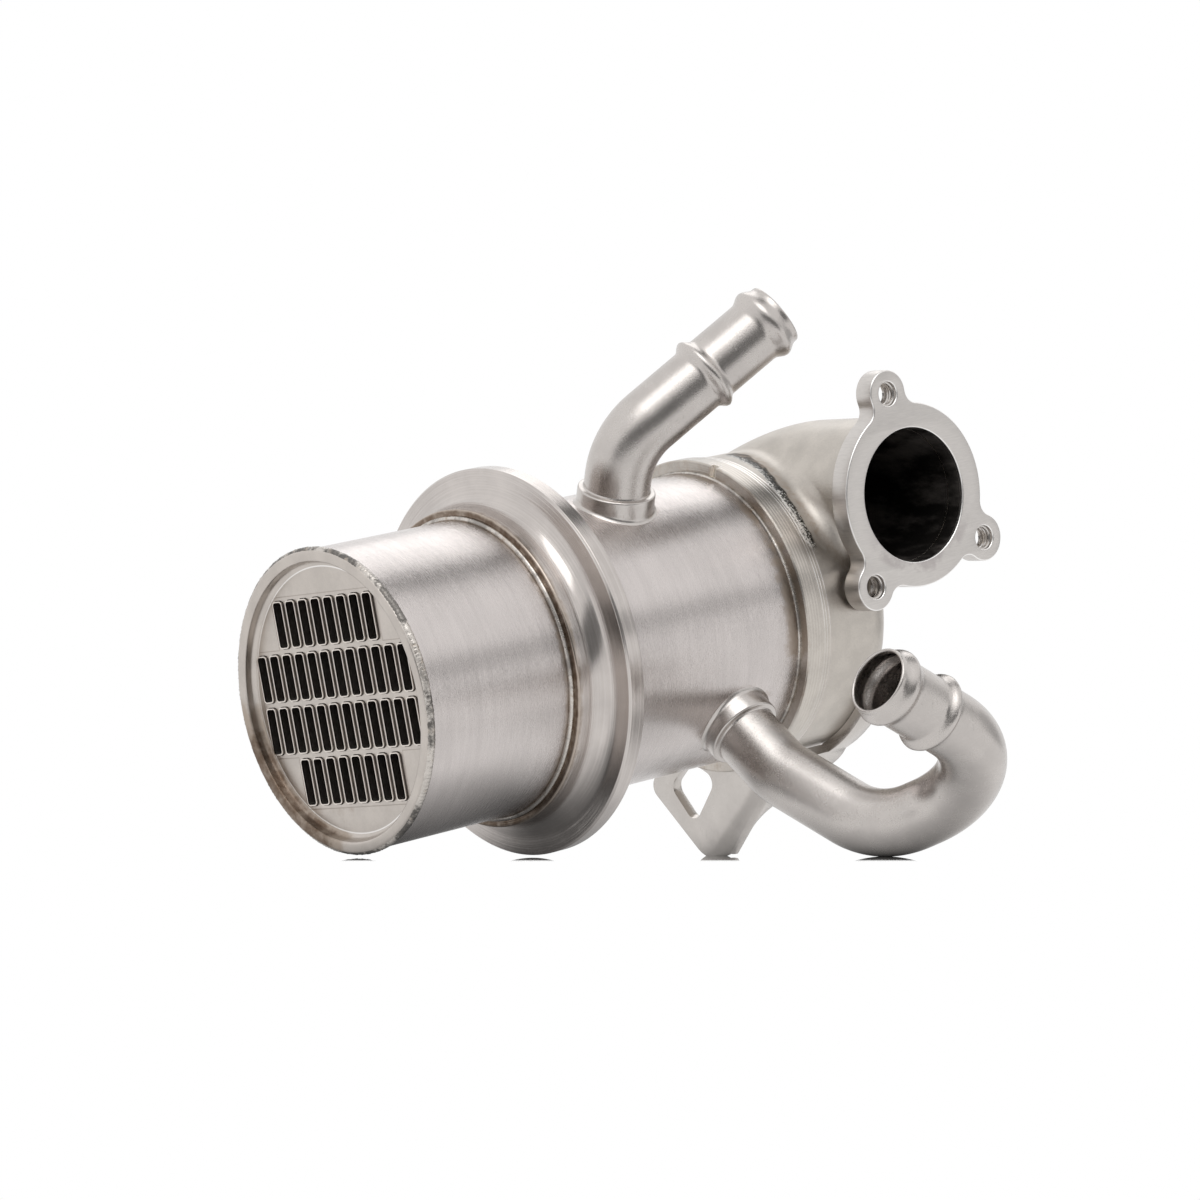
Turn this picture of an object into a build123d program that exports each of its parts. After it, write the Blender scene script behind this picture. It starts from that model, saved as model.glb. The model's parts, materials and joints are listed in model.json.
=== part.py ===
from build123d import *
from math import cos, radians, sin
import os

os.makedirs("parts", exist_ok=True)

# The gas axis runs along X. X = 0 is the plane of the inlet mouth and +Z is up.
# The outlet flange faces -Y.

# Fits
braze_gap = 0.05
weld_gap = 0.1

# Shell
shell_od = 80.0
shell_wall = 1.5
seam_station = 129.3
socket_depth = 7.0

# Tube plates
header_sheet = 1.5
header_recess = 3.4
header_form_radius = 1.6
header_edge_break = 0.5
rear_plate_setback = 9.5
rear_cup_depth = 6.0

# Gas tubes
tube_wall = 0.35
column_gap = 1.68
row_gap = 1.6
tubes_in_row = (8, 12, 12, 8)
column_pitch_share = 0.1581
row_pitch_share = 0.3966
bundle_clocking = 3.7
tube_stand_out = 0.6

# Ring flange
hub_station = 48.3
hub_wall = 2.8
hub_length = 9.4
ring_width = 9.5
ring_thickness = 5.3
ring_hub_fillet = 5.5
ring_chamfer = 0.6

# Rear housing
lip_step = 3.7
lip_width = 5.1
turned_step = 0.5
turned_width = 3.8
body_step = 0.4
housing_depth = 34.7
housing_wall = 3.0
rear_edge_radius = 10.0
lip_chamfer = 0.4
lip_notch_width = 2.4
lip_notch_depth = 1.6
lip_notch_angle = 72.0

# Outlet duct and flange
outlet_overhang = 4.3
outlet_drop = 15.8
outlet_stand_out = 7.2
outlet_bore = 36.6
duct_wall = 3.2
duct_corner_y = 6.0
duct_inset = 21.0
duct_drop = 12.0
duct_tail = 2.2
duct_fillet = 5.0
flange_thickness = 6.0
flange_width = 6.9
ear_radius = 6.5
ear_blend = 4.0
flange_edge_break = 0.4
ear_stand_out = 3.7
ear_angles = (100.0, -33.0, 231.0)
tapping_drill = 5.0
hole_mouth = 6.7

# Coolant pipes
pipe_od = 18.0
pipe_wall = 1.2
collar_wall = 1.5
collar_height = 4.4
collar_edge_break = 0.4
end_bead_setback = 4.6
end_bead_height = 1.4
inner_bead_height = 1.7
bead_width = 5.0
rim_edge_break = 0.3

upper_port_setback = 37.4
upper_port_angle = 68.3
upper_rise = 17.6
upper_bend_radius = 19.0
upper_bend_angle = 52.8
upper_bend_clocking = 9.8
upper_run = 55.0
upper_bead_setback = 25.8

lower_port_setback = 18.7
lower_port_angle = -40.0
lower_drop = 20.3
lower_runs = ((5.2, -30.4, -16.4), (20.6, -35.4, 13.6), (-47.6, -0.2, 32.2))
lower_bend_radii = (24.0, 23.5, 23.5)
lower_bead_setback = 20.4

# Support bracket: a leaf square to the axis, a wing bent to the rear and a strap round the housing
bracket_sheet = 3.0
bracket_bend_radius = 1.8
foot_stand_out = 21.5
foot_radius = 9.4
leaf_width = 33.1
leaf_corner_radius = 3.5
leaf_hole_corners = ((6.4, 13.3), (14.9, 24.1), (5.5, 31.8), (-5.1, 26.6))
leaf_hole_radius = 3.2
wing_angle = 135.0
wing_inset = 3.5
wing_cut = 6.3
wing_narrow_width = 5.0
wing_narrow_length = 22.0
wing_flare_length = 17.5
wing_flare_radius = 12.0
strap_width = 7.0
strap_rear_inset = 3.0
strap_end_angle = -38.0

# Weld beads
header_bead_width = 2.4
header_bead_top = 1.0
header_bead_height = 0.7
seam_bead = 0.9
hub_bead = 1.6
outlet_bead = 1.0

shell_radius = shell_od / 2
shell_bore_radius = shell_radius - shell_wall
pipe_radius = pipe_od / 2
collar_radius = pipe_radius + braze_gap + collar_wall
lip_radius = shell_radius + lip_step
turned_radius = lip_radius - turned_step
body_radius = turned_radius - body_step
body_end_station = seam_station + housing_depth
outlet_station = body_end_station + outlet_overhang
outlet_height = body_radius - outlet_drop
outlet_reach = body_radius + outlet_stand_out
shell_end_station = seam_station + socket_depth
upper_port_station = seam_station - upper_port_setback
lower_port_station = seam_station - lower_port_setback
duct_radius = outlet_bore / 2 + duct_wall
duct_bend_radius = (duct_inset**2 + duct_drop**2) ** 0.5 - duct_tail
flange_radius = outlet_bore / 2 + flange_width
hole_circle_radius = flange_radius + ear_stand_out
pan_outer = shell_bore_radius - weld_gap
pan_inner = pan_outer - header_sheet
flat_radius = pan_inner - header_form_radius
column_pitch = flat_radius * column_pitch_share
row_pitch = flat_radius * row_pitch_share
tube_width = column_pitch - column_gap
tube_height = row_pitch - row_gap


def across(station, clocking=0.0):
    """A plane square to the gas axis, with x on +Y and y on +Z before it leans by the clocking."""
    lean = radians(clocking)
    return Plane(origin=(station, 0, 0), x_dir=(0, cos(lean), -sin(lean)), z_dir=(1, 0, 0))


def radial(station, angle, distance=0.0):
    """A plane facing outwards along a radius; the angle is counted from -Y towards +Z."""
    outward = Vector(0, -cos(radians(angle)), sin(radians(angle)))
    return Plane(origin=Vector(station, 0, 0) + outward * distance, x_dir=(1, 0, 0), z_dir=outward)


def tube_places():
    """Row, column and place of each gas tube on a plane across the axis."""
    last_row = len(tubes_in_row) - 1
    for row, count in enumerate(tubes_in_row):
        for column in range(count):
            y = ((count - 1) / 2 - column) * column_pitch
            z = (last_row / 2 - row) * row_pitch
            yield row + 1, column + 1, (y, z)


def cut_tube_slots(plane, gap):
    """Sketch of the slots that the gas tubes pass through."""
    with BuildSketch(plane) as slots:
        with Locations(*[place for row, column, place in tube_places()]):
            Rectangle(tube_width + 2 * gap, tube_height + 2 * gap)
    return slots.sketch


def finish(part, name):
    """Label a piece and write it to its own file."""
    part.label = name
    export_step(part, f"parts/{name}.step")


# Shell, with the two coolant ports cut through its wall
with BuildPart() as shell:
    with BuildSketch(across(header_sheet + weld_gap)):
        Circle(shell_radius)
        Circle(shell_bore_radius, mode=Mode.SUBTRACT)
    extrude(amount=shell_end_station - header_sheet - weld_gap)
    for port in (radial(upper_port_station, upper_port_angle), radial(lower_port_station, lower_port_angle)):
        with BuildSketch(port):
            Circle(pipe_radius - pipe_wall)
        extrude(amount=2 * shell_radius, mode=Mode.SUBTRACT)
finish(shell.part, "shell")

# Inlet header plate: a shallow pan whose rim turns outwards over the end of the shell
with BuildPart() as inlet_header_plate:
    with BuildSketch(Plane.XY) as pan_section:
        with BuildLine():
            Polyline(
                (header_recess, 0),
                (header_recess, pan_inner),
                (0, pan_inner),
                (0, shell_radius),
                (header_sheet, shell_radius),
                (header_sheet, pan_outer),
                (header_recess + header_sheet, pan_outer),
                (header_recess + header_sheet, 0),
                close=True,
            )
        make_face()
        rim_corners = pan_section.vertices().group_by(Axis.X)[0]
        chamfer(rim_corners, header_edge_break)
        form_corner = pan_section.vertices().sort_by_distance((header_recess, pan_inner))[0]
        fillet(form_corner, header_form_radius)
    revolve(axis=Axis.X)
    slots = cut_tube_slots(across(0, bundle_clocking), braze_gap)
    extrude(slots, amount=header_recess + 2 * header_sheet, mode=Mode.SUBTRACT)
finish(inlet_header_plate.part, "inlet_header_plate")

# Rear header plate: a cup that opens towards the housing
rear_plate_station = shell_end_station - rear_plate_setback
with BuildPart() as rear_header_plate:
    with BuildSketch(across(rear_plate_station)):
        Circle(pan_outer)
    extrude(amount=rear_cup_depth)
    with BuildSketch(across(rear_plate_station + header_sheet)):
        Circle(pan_inner)
    extrude(amount=rear_cup_depth, mode=Mode.SUBTRACT)
    cup_corner = rear_header_plate.edges().filter_by(GeomType.CIRCLE).group_by(Axis.X)[0]
    chamfer(cup_corner, header_edge_break)
    slots = cut_tube_slots(across(rear_plate_station - 1, bundle_clocking), braze_gap)
    extrude(slots, amount=rear_cup_depth, mode=Mode.SUBTRACT)
finish(rear_header_plate.part, "rear_header_plate")

# Gas tubes, one solid each, from just in front of the inlet plate to just behind the rear plate
tube_start = header_recess - tube_stand_out
tube_end = rear_plate_station + header_sheet + tube_stand_out
for row, column, place in tube_places():
    with BuildPart() as gas_tube:
        with BuildSketch(across(tube_start, bundle_clocking)):
            with Locations(place):
                Rectangle(tube_width, tube_height)
                Rectangle(tube_width - 2 * tube_wall, tube_height - 2 * tube_wall, mode=Mode.SUBTRACT)
        extrude(amount=tube_end - tube_start)
    finish(gas_tube.part, f"gas_tube_{row}_{column}")

# Ring flange, turned in one piece with its hub
ring_face_station = hub_station + hub_length
ring_rear_station = ring_face_station + ring_thickness
ring_bore_radius = shell_radius + weld_gap
hub_radius = ring_bore_radius + hub_wall
ring_radius = hub_radius + ring_width
with BuildPart() as ring_flange:
    with BuildSketch(Plane.XY) as ring_section:
        with BuildLine():
            Polyline(
                (hub_station, ring_bore_radius),
                (hub_station, hub_radius),
                (ring_face_station, hub_radius),
                (ring_face_station, ring_radius),
                (ring_rear_station, ring_radius),
                (ring_rear_station, ring_bore_radius),
                close=True,
            )
        make_face()
        hub_root = ring_section.vertices().sort_by_distance((ring_face_station, hub_radius))[0]
        fillet(hub_root, ring_hub_fillet)
        ring_corners = ring_section.vertices().group_by(Axis.Y)[-1]
        chamfer(ring_corners, ring_chamfer)
    revolve(axis=Axis.X)
finish(ring_flange.part, "ring_flange")

# Rear housing: a cast cap with a socket lip, and a duct that turns out of its side
duct_mouth_y = flange_thickness - outlet_reach
duct_mouth = Plane(origin=(outlet_station, duct_mouth_y, outlet_height), x_dir=(1, 0, 0), z_dir=(0, 1, 0))
turned_station = seam_station + lip_width
body_station = turned_station + turned_width
with BuildPart() as rear_housing:
    with BuildSketch(Plane.XY) as cap_section:
        with BuildLine():
            Polyline(
                (seam_station, 0),
                (seam_station, lip_radius),
                (turned_station, lip_radius),
                (turned_station, turned_radius),
                (body_station, turned_radius),
                (body_station, body_radius),
                (body_end_station, body_radius),
                (body_end_station, 0),
                close=True,
            )
        make_face()
        cap_corner = cap_section.vertices().sort_by_distance((body_end_station, body_radius))[0]
        fillet(cap_corner, rear_edge_radius)
        lip_corner = cap_section.vertices().sort_by_distance((seam_station, lip_radius))[0]
        chamfer(lip_corner, lip_chamfer)
    revolve(axis=Axis.X)
    with BuildLine() as duct_line:
        FilletPolyline(
            (outlet_station, duct_mouth_y, outlet_height),
            (outlet_station, duct_corner_y, outlet_height),
            (outlet_station - duct_inset, duct_corner_y, outlet_height - duct_drop),
            radius=duct_bend_radius,
        )
    with BuildSketch(duct_mouth):
        Circle(duct_radius)
    sweep(path=duct_line.line)
    fillet(rear_housing.edges(Select.NEW), duct_fillet)
    with BuildSketch(Plane.XY) as chamber_section:
        with BuildLine():
            Polyline(
                (seam_station, 0),
                (seam_station, shell_radius + weld_gap),
                (shell_end_station + weld_gap, shell_radius + weld_gap),
                (shell_end_station + weld_gap, body_radius - housing_wall),
                (body_end_station - housing_wall, body_radius - housing_wall),
                (body_end_station - housing_wall, 0),
                close=True,
            )
        make_face()
        chamber_corner = chamber_section.vertices().group_by(Axis.X)[-1].sort_by(Axis.Y)[-1]
        chamfer(chamber_corner, rear_edge_radius - housing_wall)
    revolve(axis=Axis.X, mode=Mode.SUBTRACT)
    with BuildSketch(duct_mouth):
        Circle(outlet_bore / 2)
    sweep(path=duct_line.line, mode=Mode.SUBTRACT)
    with BuildSketch(radial(seam_station, lip_notch_angle, shell_radius + weld_gap)):
        Rectangle(2 * lip_notch_depth, lip_notch_width)
    extrude(amount=2 * lip_step, mode=Mode.SUBTRACT)
finish(rear_housing.part, "rear_housing")

# Outlet flange: a milled plate with three tapped ears on the duct's mouth
outlet_face = Plane(origin=(outlet_station, -outlet_reach, outlet_height), x_dir=(1, 0, 0), z_dir=(0, -1, 0))
ear_turns = [radians(angle) for angle in ear_angles]
ear_places = [(hole_circle_radius * cos(turn), hole_circle_radius * sin(turn)) for turn in ear_turns]
with BuildPart() as outlet_flange:
    with BuildSketch(outlet_face) as plate_outline:
        Circle(flange_radius)
        with Locations(*ear_places):
            Circle(ear_radius)
        ear_necks = plate_outline.vertices()
        fillet(ear_necks, ear_blend)
    extrude(amount=-flange_thickness)
    chamfer(outlet_flange.edges().group_by(Axis.Y)[0], flange_edge_break)
    with BuildSketch(outlet_face):
        Circle(outlet_bore / 2)
    extrude(amount=-flange_thickness, mode=Mode.SUBTRACT)
    for place in ear_places:
        with Locations(outlet_face):
            with Locations(place):
                CounterSinkHole(tapping_drill / 2, hole_mouth / 2, depth=flange_thickness)
finish(outlet_flange.part, "outlet_flange")


def collar(port, name):
    """Short socket that seats on the shell's outer wall and holds a coolant pipe."""
    with BuildPart() as socket:
        with BuildSketch(port.offset(shell_radius / 2)):
            Circle(collar_radius)
            Circle(pipe_radius + braze_gap, mode=Mode.SUBTRACT)
        extrude(amount=shell_radius / 2 + collar_height)
        top = socket.faces().sort_by(Axis(port.origin, port.z_dir))[-1]
        outer_rim = top.edges().sort_by(SortBy.RADIUS)[-1]
        chamfer(outer_rim, collar_edge_break)
        with BuildSketch(across(port.origin.X - 2 * collar_radius)):
            Circle(shell_radius + braze_gap)
        extrude(amount=4 * collar_radius, mode=Mode.SUBTRACT)
    finish(socket.part, name)


def hose_end_section(inner_bead_setback):
    """Half section of a hose end: X runs from its root, at 0, to its rim and Y is the radius."""
    rim = inner_bead_setback + bead_width
    beads = ((rim - inner_bead_setback, inner_bead_height), (rim - end_bead_setback, end_bead_height))
    with BuildSketch(mode=Mode.PRIVATE) as section:
        with BuildLine():
            for wall_radius in (pipe_radius, pipe_radius - pipe_wall):
                reach = 0.0
                for centre, height in beads:
                    Line((reach, wall_radius), (centre - bead_width / 2, wall_radius))
                    ThreePointArc(
                        (centre - bead_width / 2, wall_radius),
                        (centre, wall_radius + height),
                        (centre + bead_width / 2, wall_radius),
                    )
                    reach = centre + bead_width / 2
                Line((reach, wall_radius), (rim, wall_radius))
            Line((0, pipe_radius - pipe_wall), (0, pipe_radius))
            Line((rim, pipe_radius - pipe_wall), (rim, pipe_radius))
        make_face()
        chamfer(section.vertices().group_by(Axis.X)[-1], rim_edge_break)
    return section.sketch


def coolant_pipe(corners, bend_radii, inner_bead_setback, name):
    """Bent pipe through the corners of its route, with a formed hose end on the last run."""
    first_run = Vector(*corners[1]) - Vector(*corners[0])
    last_run = (Vector(*corners[-1]) - Vector(*corners[-2])).normalized()
    root = Vector(*corners[-1]) - last_run * (inner_bead_setback + bead_width)
    with BuildPart() as pipe:
        with BuildLine() as route:
            FilletPolyline(*corners[:-1], root, radius=bend_radii)
        with BuildSketch(Plane(origin=corners[0], z_dir=first_run)):
            Circle(pipe_radius)
            Circle(pipe_radius - pipe_wall, mode=Mode.SUBTRACT)
        sweep(path=route.line)
        section_plane = Plane(origin=root, x_dir=last_run, z_dir=last_run.cross(Vector(0, 1, 0)))
        with BuildSketch(section_plane):
            add(hose_end_section(inner_bead_setback))
        revolve(axis=Axis(root, last_run))
        with BuildSketch(across(corners[0][0] - pipe_od)):
            Circle(shell_radius + braze_gap)
        extrude(amount=2 * pipe_od, mode=Mode.SUBTRACT)
    finish(pipe.part, name)


def along(start, *runs):
    """Corners of a route, from its start through each run in turn."""
    corners = [start]
    for run in runs:
        corners.append(corners[-1] + Vector(*run))
    return [tuple(corner) for corner in corners]


# Upper coolant pipe: straight up from its port, then one bend to the rear
upper_port = radial(upper_port_station, upper_port_angle)
rearwards = Vector(1, 0, 0)
sideways = rearwards.cross(upper_port.z_dir)
clocking = radians(upper_bend_clocking)
bend_heading = rearwards * cos(clocking) + sideways * sin(clocking)
bend = radians(upper_bend_angle)
upper_heading = upper_port.z_dir * cos(bend) + bend_heading * sin(bend)
upper_corners = along(
    radial(upper_port_station, upper_port_angle, shell_radius - collar_height).origin,
    upper_port.z_dir * (upper_rise + collar_height),
    upper_heading * upper_run,
)
collar(upper_port, "upper_collar")
coolant_pipe(upper_corners, upper_bend_radius, upper_bead_setback, "upper_coolant_pipe")

# Lower coolant pipe: down and out from its port, then turned back to the front by three bends
lower_port = radial(lower_port_station, lower_port_angle)
lower_corners = along(
    radial(lower_port_station, lower_port_angle, shell_radius - collar_height).origin,
    lower_port.z_dir * (lower_drop + collar_height),
    *lower_runs,
)
collar(lower_port, "lower_collar")
coolant_pipe(lower_corners, lower_bend_radii, lower_bead_setback, "lower_coolant_pipe")

# Support bracket
leaf_station = turned_station + weld_gap
strap_rear_station = body_end_station - strap_rear_inset
wing_reach = strap_rear_station - leaf_station
wing_heading = Vector(cos(radians(wing_angle)), sin(radians(wing_angle)))
wing_inward = wing_heading.rotate(Axis.Z, -90)
wing_up = Vector(0, wing_heading.X, wing_heading.Y)
wing_in = Vector(0, wing_inward.X, wing_inward.Y)
strap_radius = body_radius + weld_gap + bracket_sheet / 2
wing_offset = strap_radius + bracket_sheet / 2 - wing_inset
foot = wing_inward * -wing_offset - wing_heading * (shell_radius + foot_stand_out)
leaf_corner = foot + wing_inward * leaf_width


def on_wing(radius, depth):
    """Point of the wing at a depth under its outer face, where it lies at a radius from the axis."""
    below_axis = wing_offset - depth
    return wing_inward * -below_axis - wing_heading * (radius**2 - below_axis**2) ** 0.5


wing_top = on_wing(strap_radius + bracket_sheet / 2, 0)
strap_start = on_wing(strap_radius, bracket_sheet / 2)
strap_end = Vector(-cos(radians(strap_end_angle)), sin(radians(strap_end_angle))) * strap_radius
wing_length = (wing_top - foot).length
flare_end = wing_narrow_length + wing_flare_length
with BuildPart() as support_bracket:
    foot_in_space = Vector(leaf_station, foot.X, foot.Y)
    with BuildSketch(Plane(origin=foot_in_space, x_dir=(1, 0, 0), z_dir=wing_up)) as bent_sheet:
        with BuildLine():
            Polyline(
                (0, 0),
                (wing_reach, 0),
                (wing_reach, bracket_sheet),
                (bracket_sheet, bracket_sheet),
                (bracket_sheet, 2 * leaf_width),
                (0, 2 * leaf_width),
                close=True,
            )
        make_face()
        bend_inside = bent_sheet.vertices().sort_by_distance((bracket_sheet, bracket_sheet))[0]
        fillet(bend_inside, bracket_bend_radius)
        bend_outside = bent_sheet.vertices().sort_by_distance((0, 0))[0]
        fillet(bend_outside, bracket_bend_radius + bracket_sheet)
    extrude(amount=wing_length + bracket_sheet)
    with BuildSketch(Plane(origin=foot_in_space, x_dir=wing_up, z_dir=wing_in)) as wing_side:
        with BuildLine():
            Polyline(
                (0, 0),
                (0, bracket_sheet),
                (wing_cut, bracket_sheet),
                (wing_cut, wing_narrow_width),
                (wing_narrow_length, wing_narrow_width),
                (flare_end, wing_reach),
                (2 * wing_length, wing_reach),
                (2 * wing_length, 0),
                close=True,
            )
        make_face()
        flare_start = wing_side.vertices().sort_by_distance((wing_narrow_length, wing_narrow_width))[0]
        fillet(flare_start, wing_flare_radius)
        flare_top = wing_side.vertices().sort_by_distance((flare_end, wing_reach))[0]
        fillet(flare_top, wing_flare_radius / 2)
    extrude(amount=2 * leaf_width, mode=Mode.INTERSECT)
    with BuildSketch(across(leaf_station)) as leaf_outline:
        with BuildLine():
            Polyline(leaf_corner, foot, wing_top, (0, 0), close=True)
        make_face()
        fillet(leaf_outline.vertices().sort_by_distance(foot)[0], foot_radius)
        fillet(leaf_outline.vertices().sort_by_distance(leaf_corner)[0], leaf_corner_radius)
        with BuildLine(mode=Mode.PRIVATE) as wing_line:
            Line(foot + wing_heading * wing_cut + wing_inward * bracket_sheet / 2, strap_start)
        trace(wing_line.line, line_width=bracket_sheet)
        Circle(turned_radius + weld_gap, mode=Mode.SUBTRACT)
    extrude(amount=wing_reach, mode=Mode.INTERSECT)
    with BuildSketch(across(leaf_station)) as hole_outline:
        with BuildLine():
            Polyline(*[foot + Vector(*corner) for corner in leaf_hole_corners], close=True)
        make_face()
        fillet(hole_outline.vertices(), leaf_hole_radius)
    extrude(amount=bracket_sheet, mode=Mode.SUBTRACT)
    with BuildSketch(across(strap_rear_station - strap_width)):
        with BuildLine(mode=Mode.PRIVATE) as strap_line:
            Line(strap_start - wing_heading * bracket_sheet, strap_start)
            RadiusArc(strap_start, strap_end, strap_radius)
        trace(strap_line.line, line_width=bracket_sheet)
    extrude(amount=strap_width)
finish(support_bracket.part, "support_bracket")

# Weld beads
with BuildPart() as header_weld:
    with BuildSketch(Plane.XY):
        with BuildLine():
            Polyline(
                (header_sheet - header_bead_width / 2, shell_radius),
                (header_sheet - header_bead_top / 2, shell_radius + header_bead_height),
                (header_sheet + header_bead_top / 2, shell_radius + header_bead_height),
                (header_sheet + header_bead_width / 2, shell_radius),
                close=True,
            )
        make_face()
    revolve(axis=Axis.X)
finish(header_weld.part, "header_weld")


def fillet_weld(plane, corner, leg, towards, casting, name):
    """Ring of weld between a round wall and a face square to it, turned about the plane's X.

    It stops where it runs into the casting.
    """
    with BuildPart() as weld:
        with BuildSketch(plane):
            with BuildLine():
                Polyline(
                    (corner[0], corner[1] + leg),
                    corner,
                    (corner[0] + towards * leg, corner[1]),
                    close=True,
                )
            make_face()
        revolve(axis=Axis(plane.origin, plane.x_dir))
        add(casting, mode=Mode.SUBTRACT)
    finish(weld.part, name)


duct_section = Plane(origin=duct_mouth.origin, x_dir=(0, 1, 0), z_dir=(1, 0, 0))
duct_corner = (0, duct_radius + braze_gap)
fillet_weld(Plane.XY, (hub_station, shell_radius), hub_bead, -1, ring_flange.part, "ring_weld")
fillet_weld(Plane.XY, (seam_station, shell_radius), seam_bead, -1, rear_housing.part, "rear_seam_weld")
fillet_weld(duct_section, duct_corner, outlet_bead, 1, rear_housing.part, "outlet_flange_weld")
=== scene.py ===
"""Visual model of an exhaust gas recirculation cooler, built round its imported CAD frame."""

import json
import math

import bmesh
import bpy
from mathutils import Matrix, Vector


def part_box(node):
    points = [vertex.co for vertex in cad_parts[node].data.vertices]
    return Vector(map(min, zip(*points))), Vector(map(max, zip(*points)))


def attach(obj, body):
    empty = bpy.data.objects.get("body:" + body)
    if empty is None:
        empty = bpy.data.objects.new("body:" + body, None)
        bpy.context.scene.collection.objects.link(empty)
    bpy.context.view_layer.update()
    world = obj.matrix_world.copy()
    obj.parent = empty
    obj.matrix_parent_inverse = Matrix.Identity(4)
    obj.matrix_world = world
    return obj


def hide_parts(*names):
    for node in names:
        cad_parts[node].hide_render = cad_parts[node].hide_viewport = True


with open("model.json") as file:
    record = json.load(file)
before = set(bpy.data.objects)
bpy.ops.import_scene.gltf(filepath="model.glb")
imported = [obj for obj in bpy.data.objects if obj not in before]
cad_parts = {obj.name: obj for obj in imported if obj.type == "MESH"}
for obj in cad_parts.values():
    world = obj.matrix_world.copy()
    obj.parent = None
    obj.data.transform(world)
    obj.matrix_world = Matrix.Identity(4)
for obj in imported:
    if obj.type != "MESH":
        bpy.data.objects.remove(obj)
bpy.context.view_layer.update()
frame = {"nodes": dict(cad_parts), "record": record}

bl_info = {
    "name": "Gas Cooler",
    "version": (1, 0, 0),
    "blender": (4, 5, 0),
    "location": "3D View > Sidebar > Gas Cooler",
    "description": "Builds the pieces and finishes of a shell-and-tube gas cooler",
    "category": "Object",
}

MM = 0.001
AXIS = Vector((1, 0, 0))
BODY = "root"

SHELL_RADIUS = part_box("shell")[1][1]
SEAM_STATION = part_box("rear_housing")[0][0]
RING_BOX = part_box("ring_flange")
MOUNTS = {mount["name"]: mount for mount in frame["record"]["mounts"]}
OUTLET = Vector(MOUNTS["outlet_face"]["pos_m"])
SCREWS = [Vector(MOUNTS[f"outlet_screw_{number}"]["pos_m"]) for number in (1, 2, 3)]

PLATE_RADIUS = SHELL_RADIUS - 1.6 * MM
PLATE_SEGMENTS = 192
TUBES_IN_ROW = (8, 12, 12, 8)
DUCT_END = Vector((OUTLET.x, OUTLET.y, 0.027))
DUCT_LINE = {"Point": DUCT_END, "Direction": (0.0, 1.0, 0.0)}
NOTCH_ANGLE = math.radians(72)
NOTCH_LINE = {"Point": (0.1305, 0, 0), "Direction": (0, -math.cos(NOTCH_ANGLE), math.sin(NOTCH_ANGLE))}
BAND_START, BAND_END = 0.1356, 0.1379
BAND_RIDGES = (0.1359, 0.1368, BAND_END)
SCORCHED_SPOT = (0.0016, -0.0312, 0.0258)
WHITE = (1.0, 1.0, 1.0, 1.0)
# Painted highlight colour for bright edges, bevels and ridges.
PAINTED_HIGHLIGHT = (0.95, 0.93, 0.91, 1.0)
PALE_NOTCH = (1.0, 0.97, 0.93, 1.0)
PALE_SPECK = (0.82, 0.80, 0.77, 1.0)
# Dark colour of the painted shade in the housing's crease.
CREASE_SHADE_SPECK = (0.035, 0.033, 0.03, 1.0)
GREY_STAIN = (0.36, 0.32, 0.32, 1.0)


def number(name, description, value, **more):
    """A number that the panel shows."""
    return bpy.props.FloatProperty(name=name, description=description, default=value, **more)


def length(name, description, millimetres):
    """A length shown in the scene's unit."""
    return number(name, description, millimetres * MM, precision=5, unit="LENGTH")


def colour(name, description, value):
    """A linear colour."""
    return bpy.props.FloatVectorProperty(
        name=name, description=description, default=value, size=3, min=0, max=1, subtype="COLOR"
    )


def factor(name, description, value):
    """A share from 0 to 1."""
    return number(name, description, value, min=0, max=1, subtype="FACTOR")


class PlateSizes(bpy.types.PropertyGroup):
    """Sizes of the pierced inlet plate and its gas tubes."""

    slot_width: length("Slot width", "Clear width of a gas tube", 3.5)
    slot_height: length("Slot height", "Clear height of a gas tube", 12.0)
    slot_corner: length("Slot corner", "Inside corner radius of a gas tube", 0.8)
    tube_wall: length("Tube wall", "Wall of a gas tube", 0.3)
    slot_gap: length("Slot gap", "Dark gap between a tube and the plate", 0.2)
    stand_out: length("Stand-out", "How far the tubes stand out of the plate", 0.6)
    column_pitch: length("Column pitch", "Distance between tubes in a row", 5.58)
    row_pitch: length("Row pitch", "Distance between rows", 14.0)
    clocking: number("Clocking", "Turn of the bundle about the gas axis", math.radians(3.7), unit="ROTATION")
    recess: length("Recess", "Depth of the plate behind the mouth", 3.4)
    sheet: length("Sheet", "Thickness of the plate", 1.5)
    form_radius: length("Form radius", "Rounding where the plate turns into its wall", 1.6)
    rim_round: length("Rim rounding", "Rounding of the mouth's two edges", 0.75)
    tube_length: length("Tube length", "Length of the gas tubes", 126.0)


class PipeSizes(bpy.types.PropertyGroup):
    """Sizes of the coolant pipes and their collars."""

    radius: length("Radius", "Outer radius of a pipe", 9.0)
    wall: length("Wall", "Wall of a pipe", 0.9)
    bead_height: length("Bead height", "Height of the inner hose bead", 1.7)
    bead_width: length("Bead width", "Width of the inner hose bead", 5.4)
    end_bead_height: length("End bead height", "Height of the bead next to the rim", 1.45)
    end_bead_width: length("End bead width", "Width of the bead next to the rim", 7.2)
    end_bead_setback: length("End bead setback", "Distance of the end bead from the rim", 4.6)
    collar_radius: length("Collar radius", "Outer radius of a collar", 10.55)
    collar_height: length("Collar height", "Height of a collar above the shell", 4.4)
    braze: length("Braze fillet", "Leg of the braze round pipe and collar", 0.7)


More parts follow.
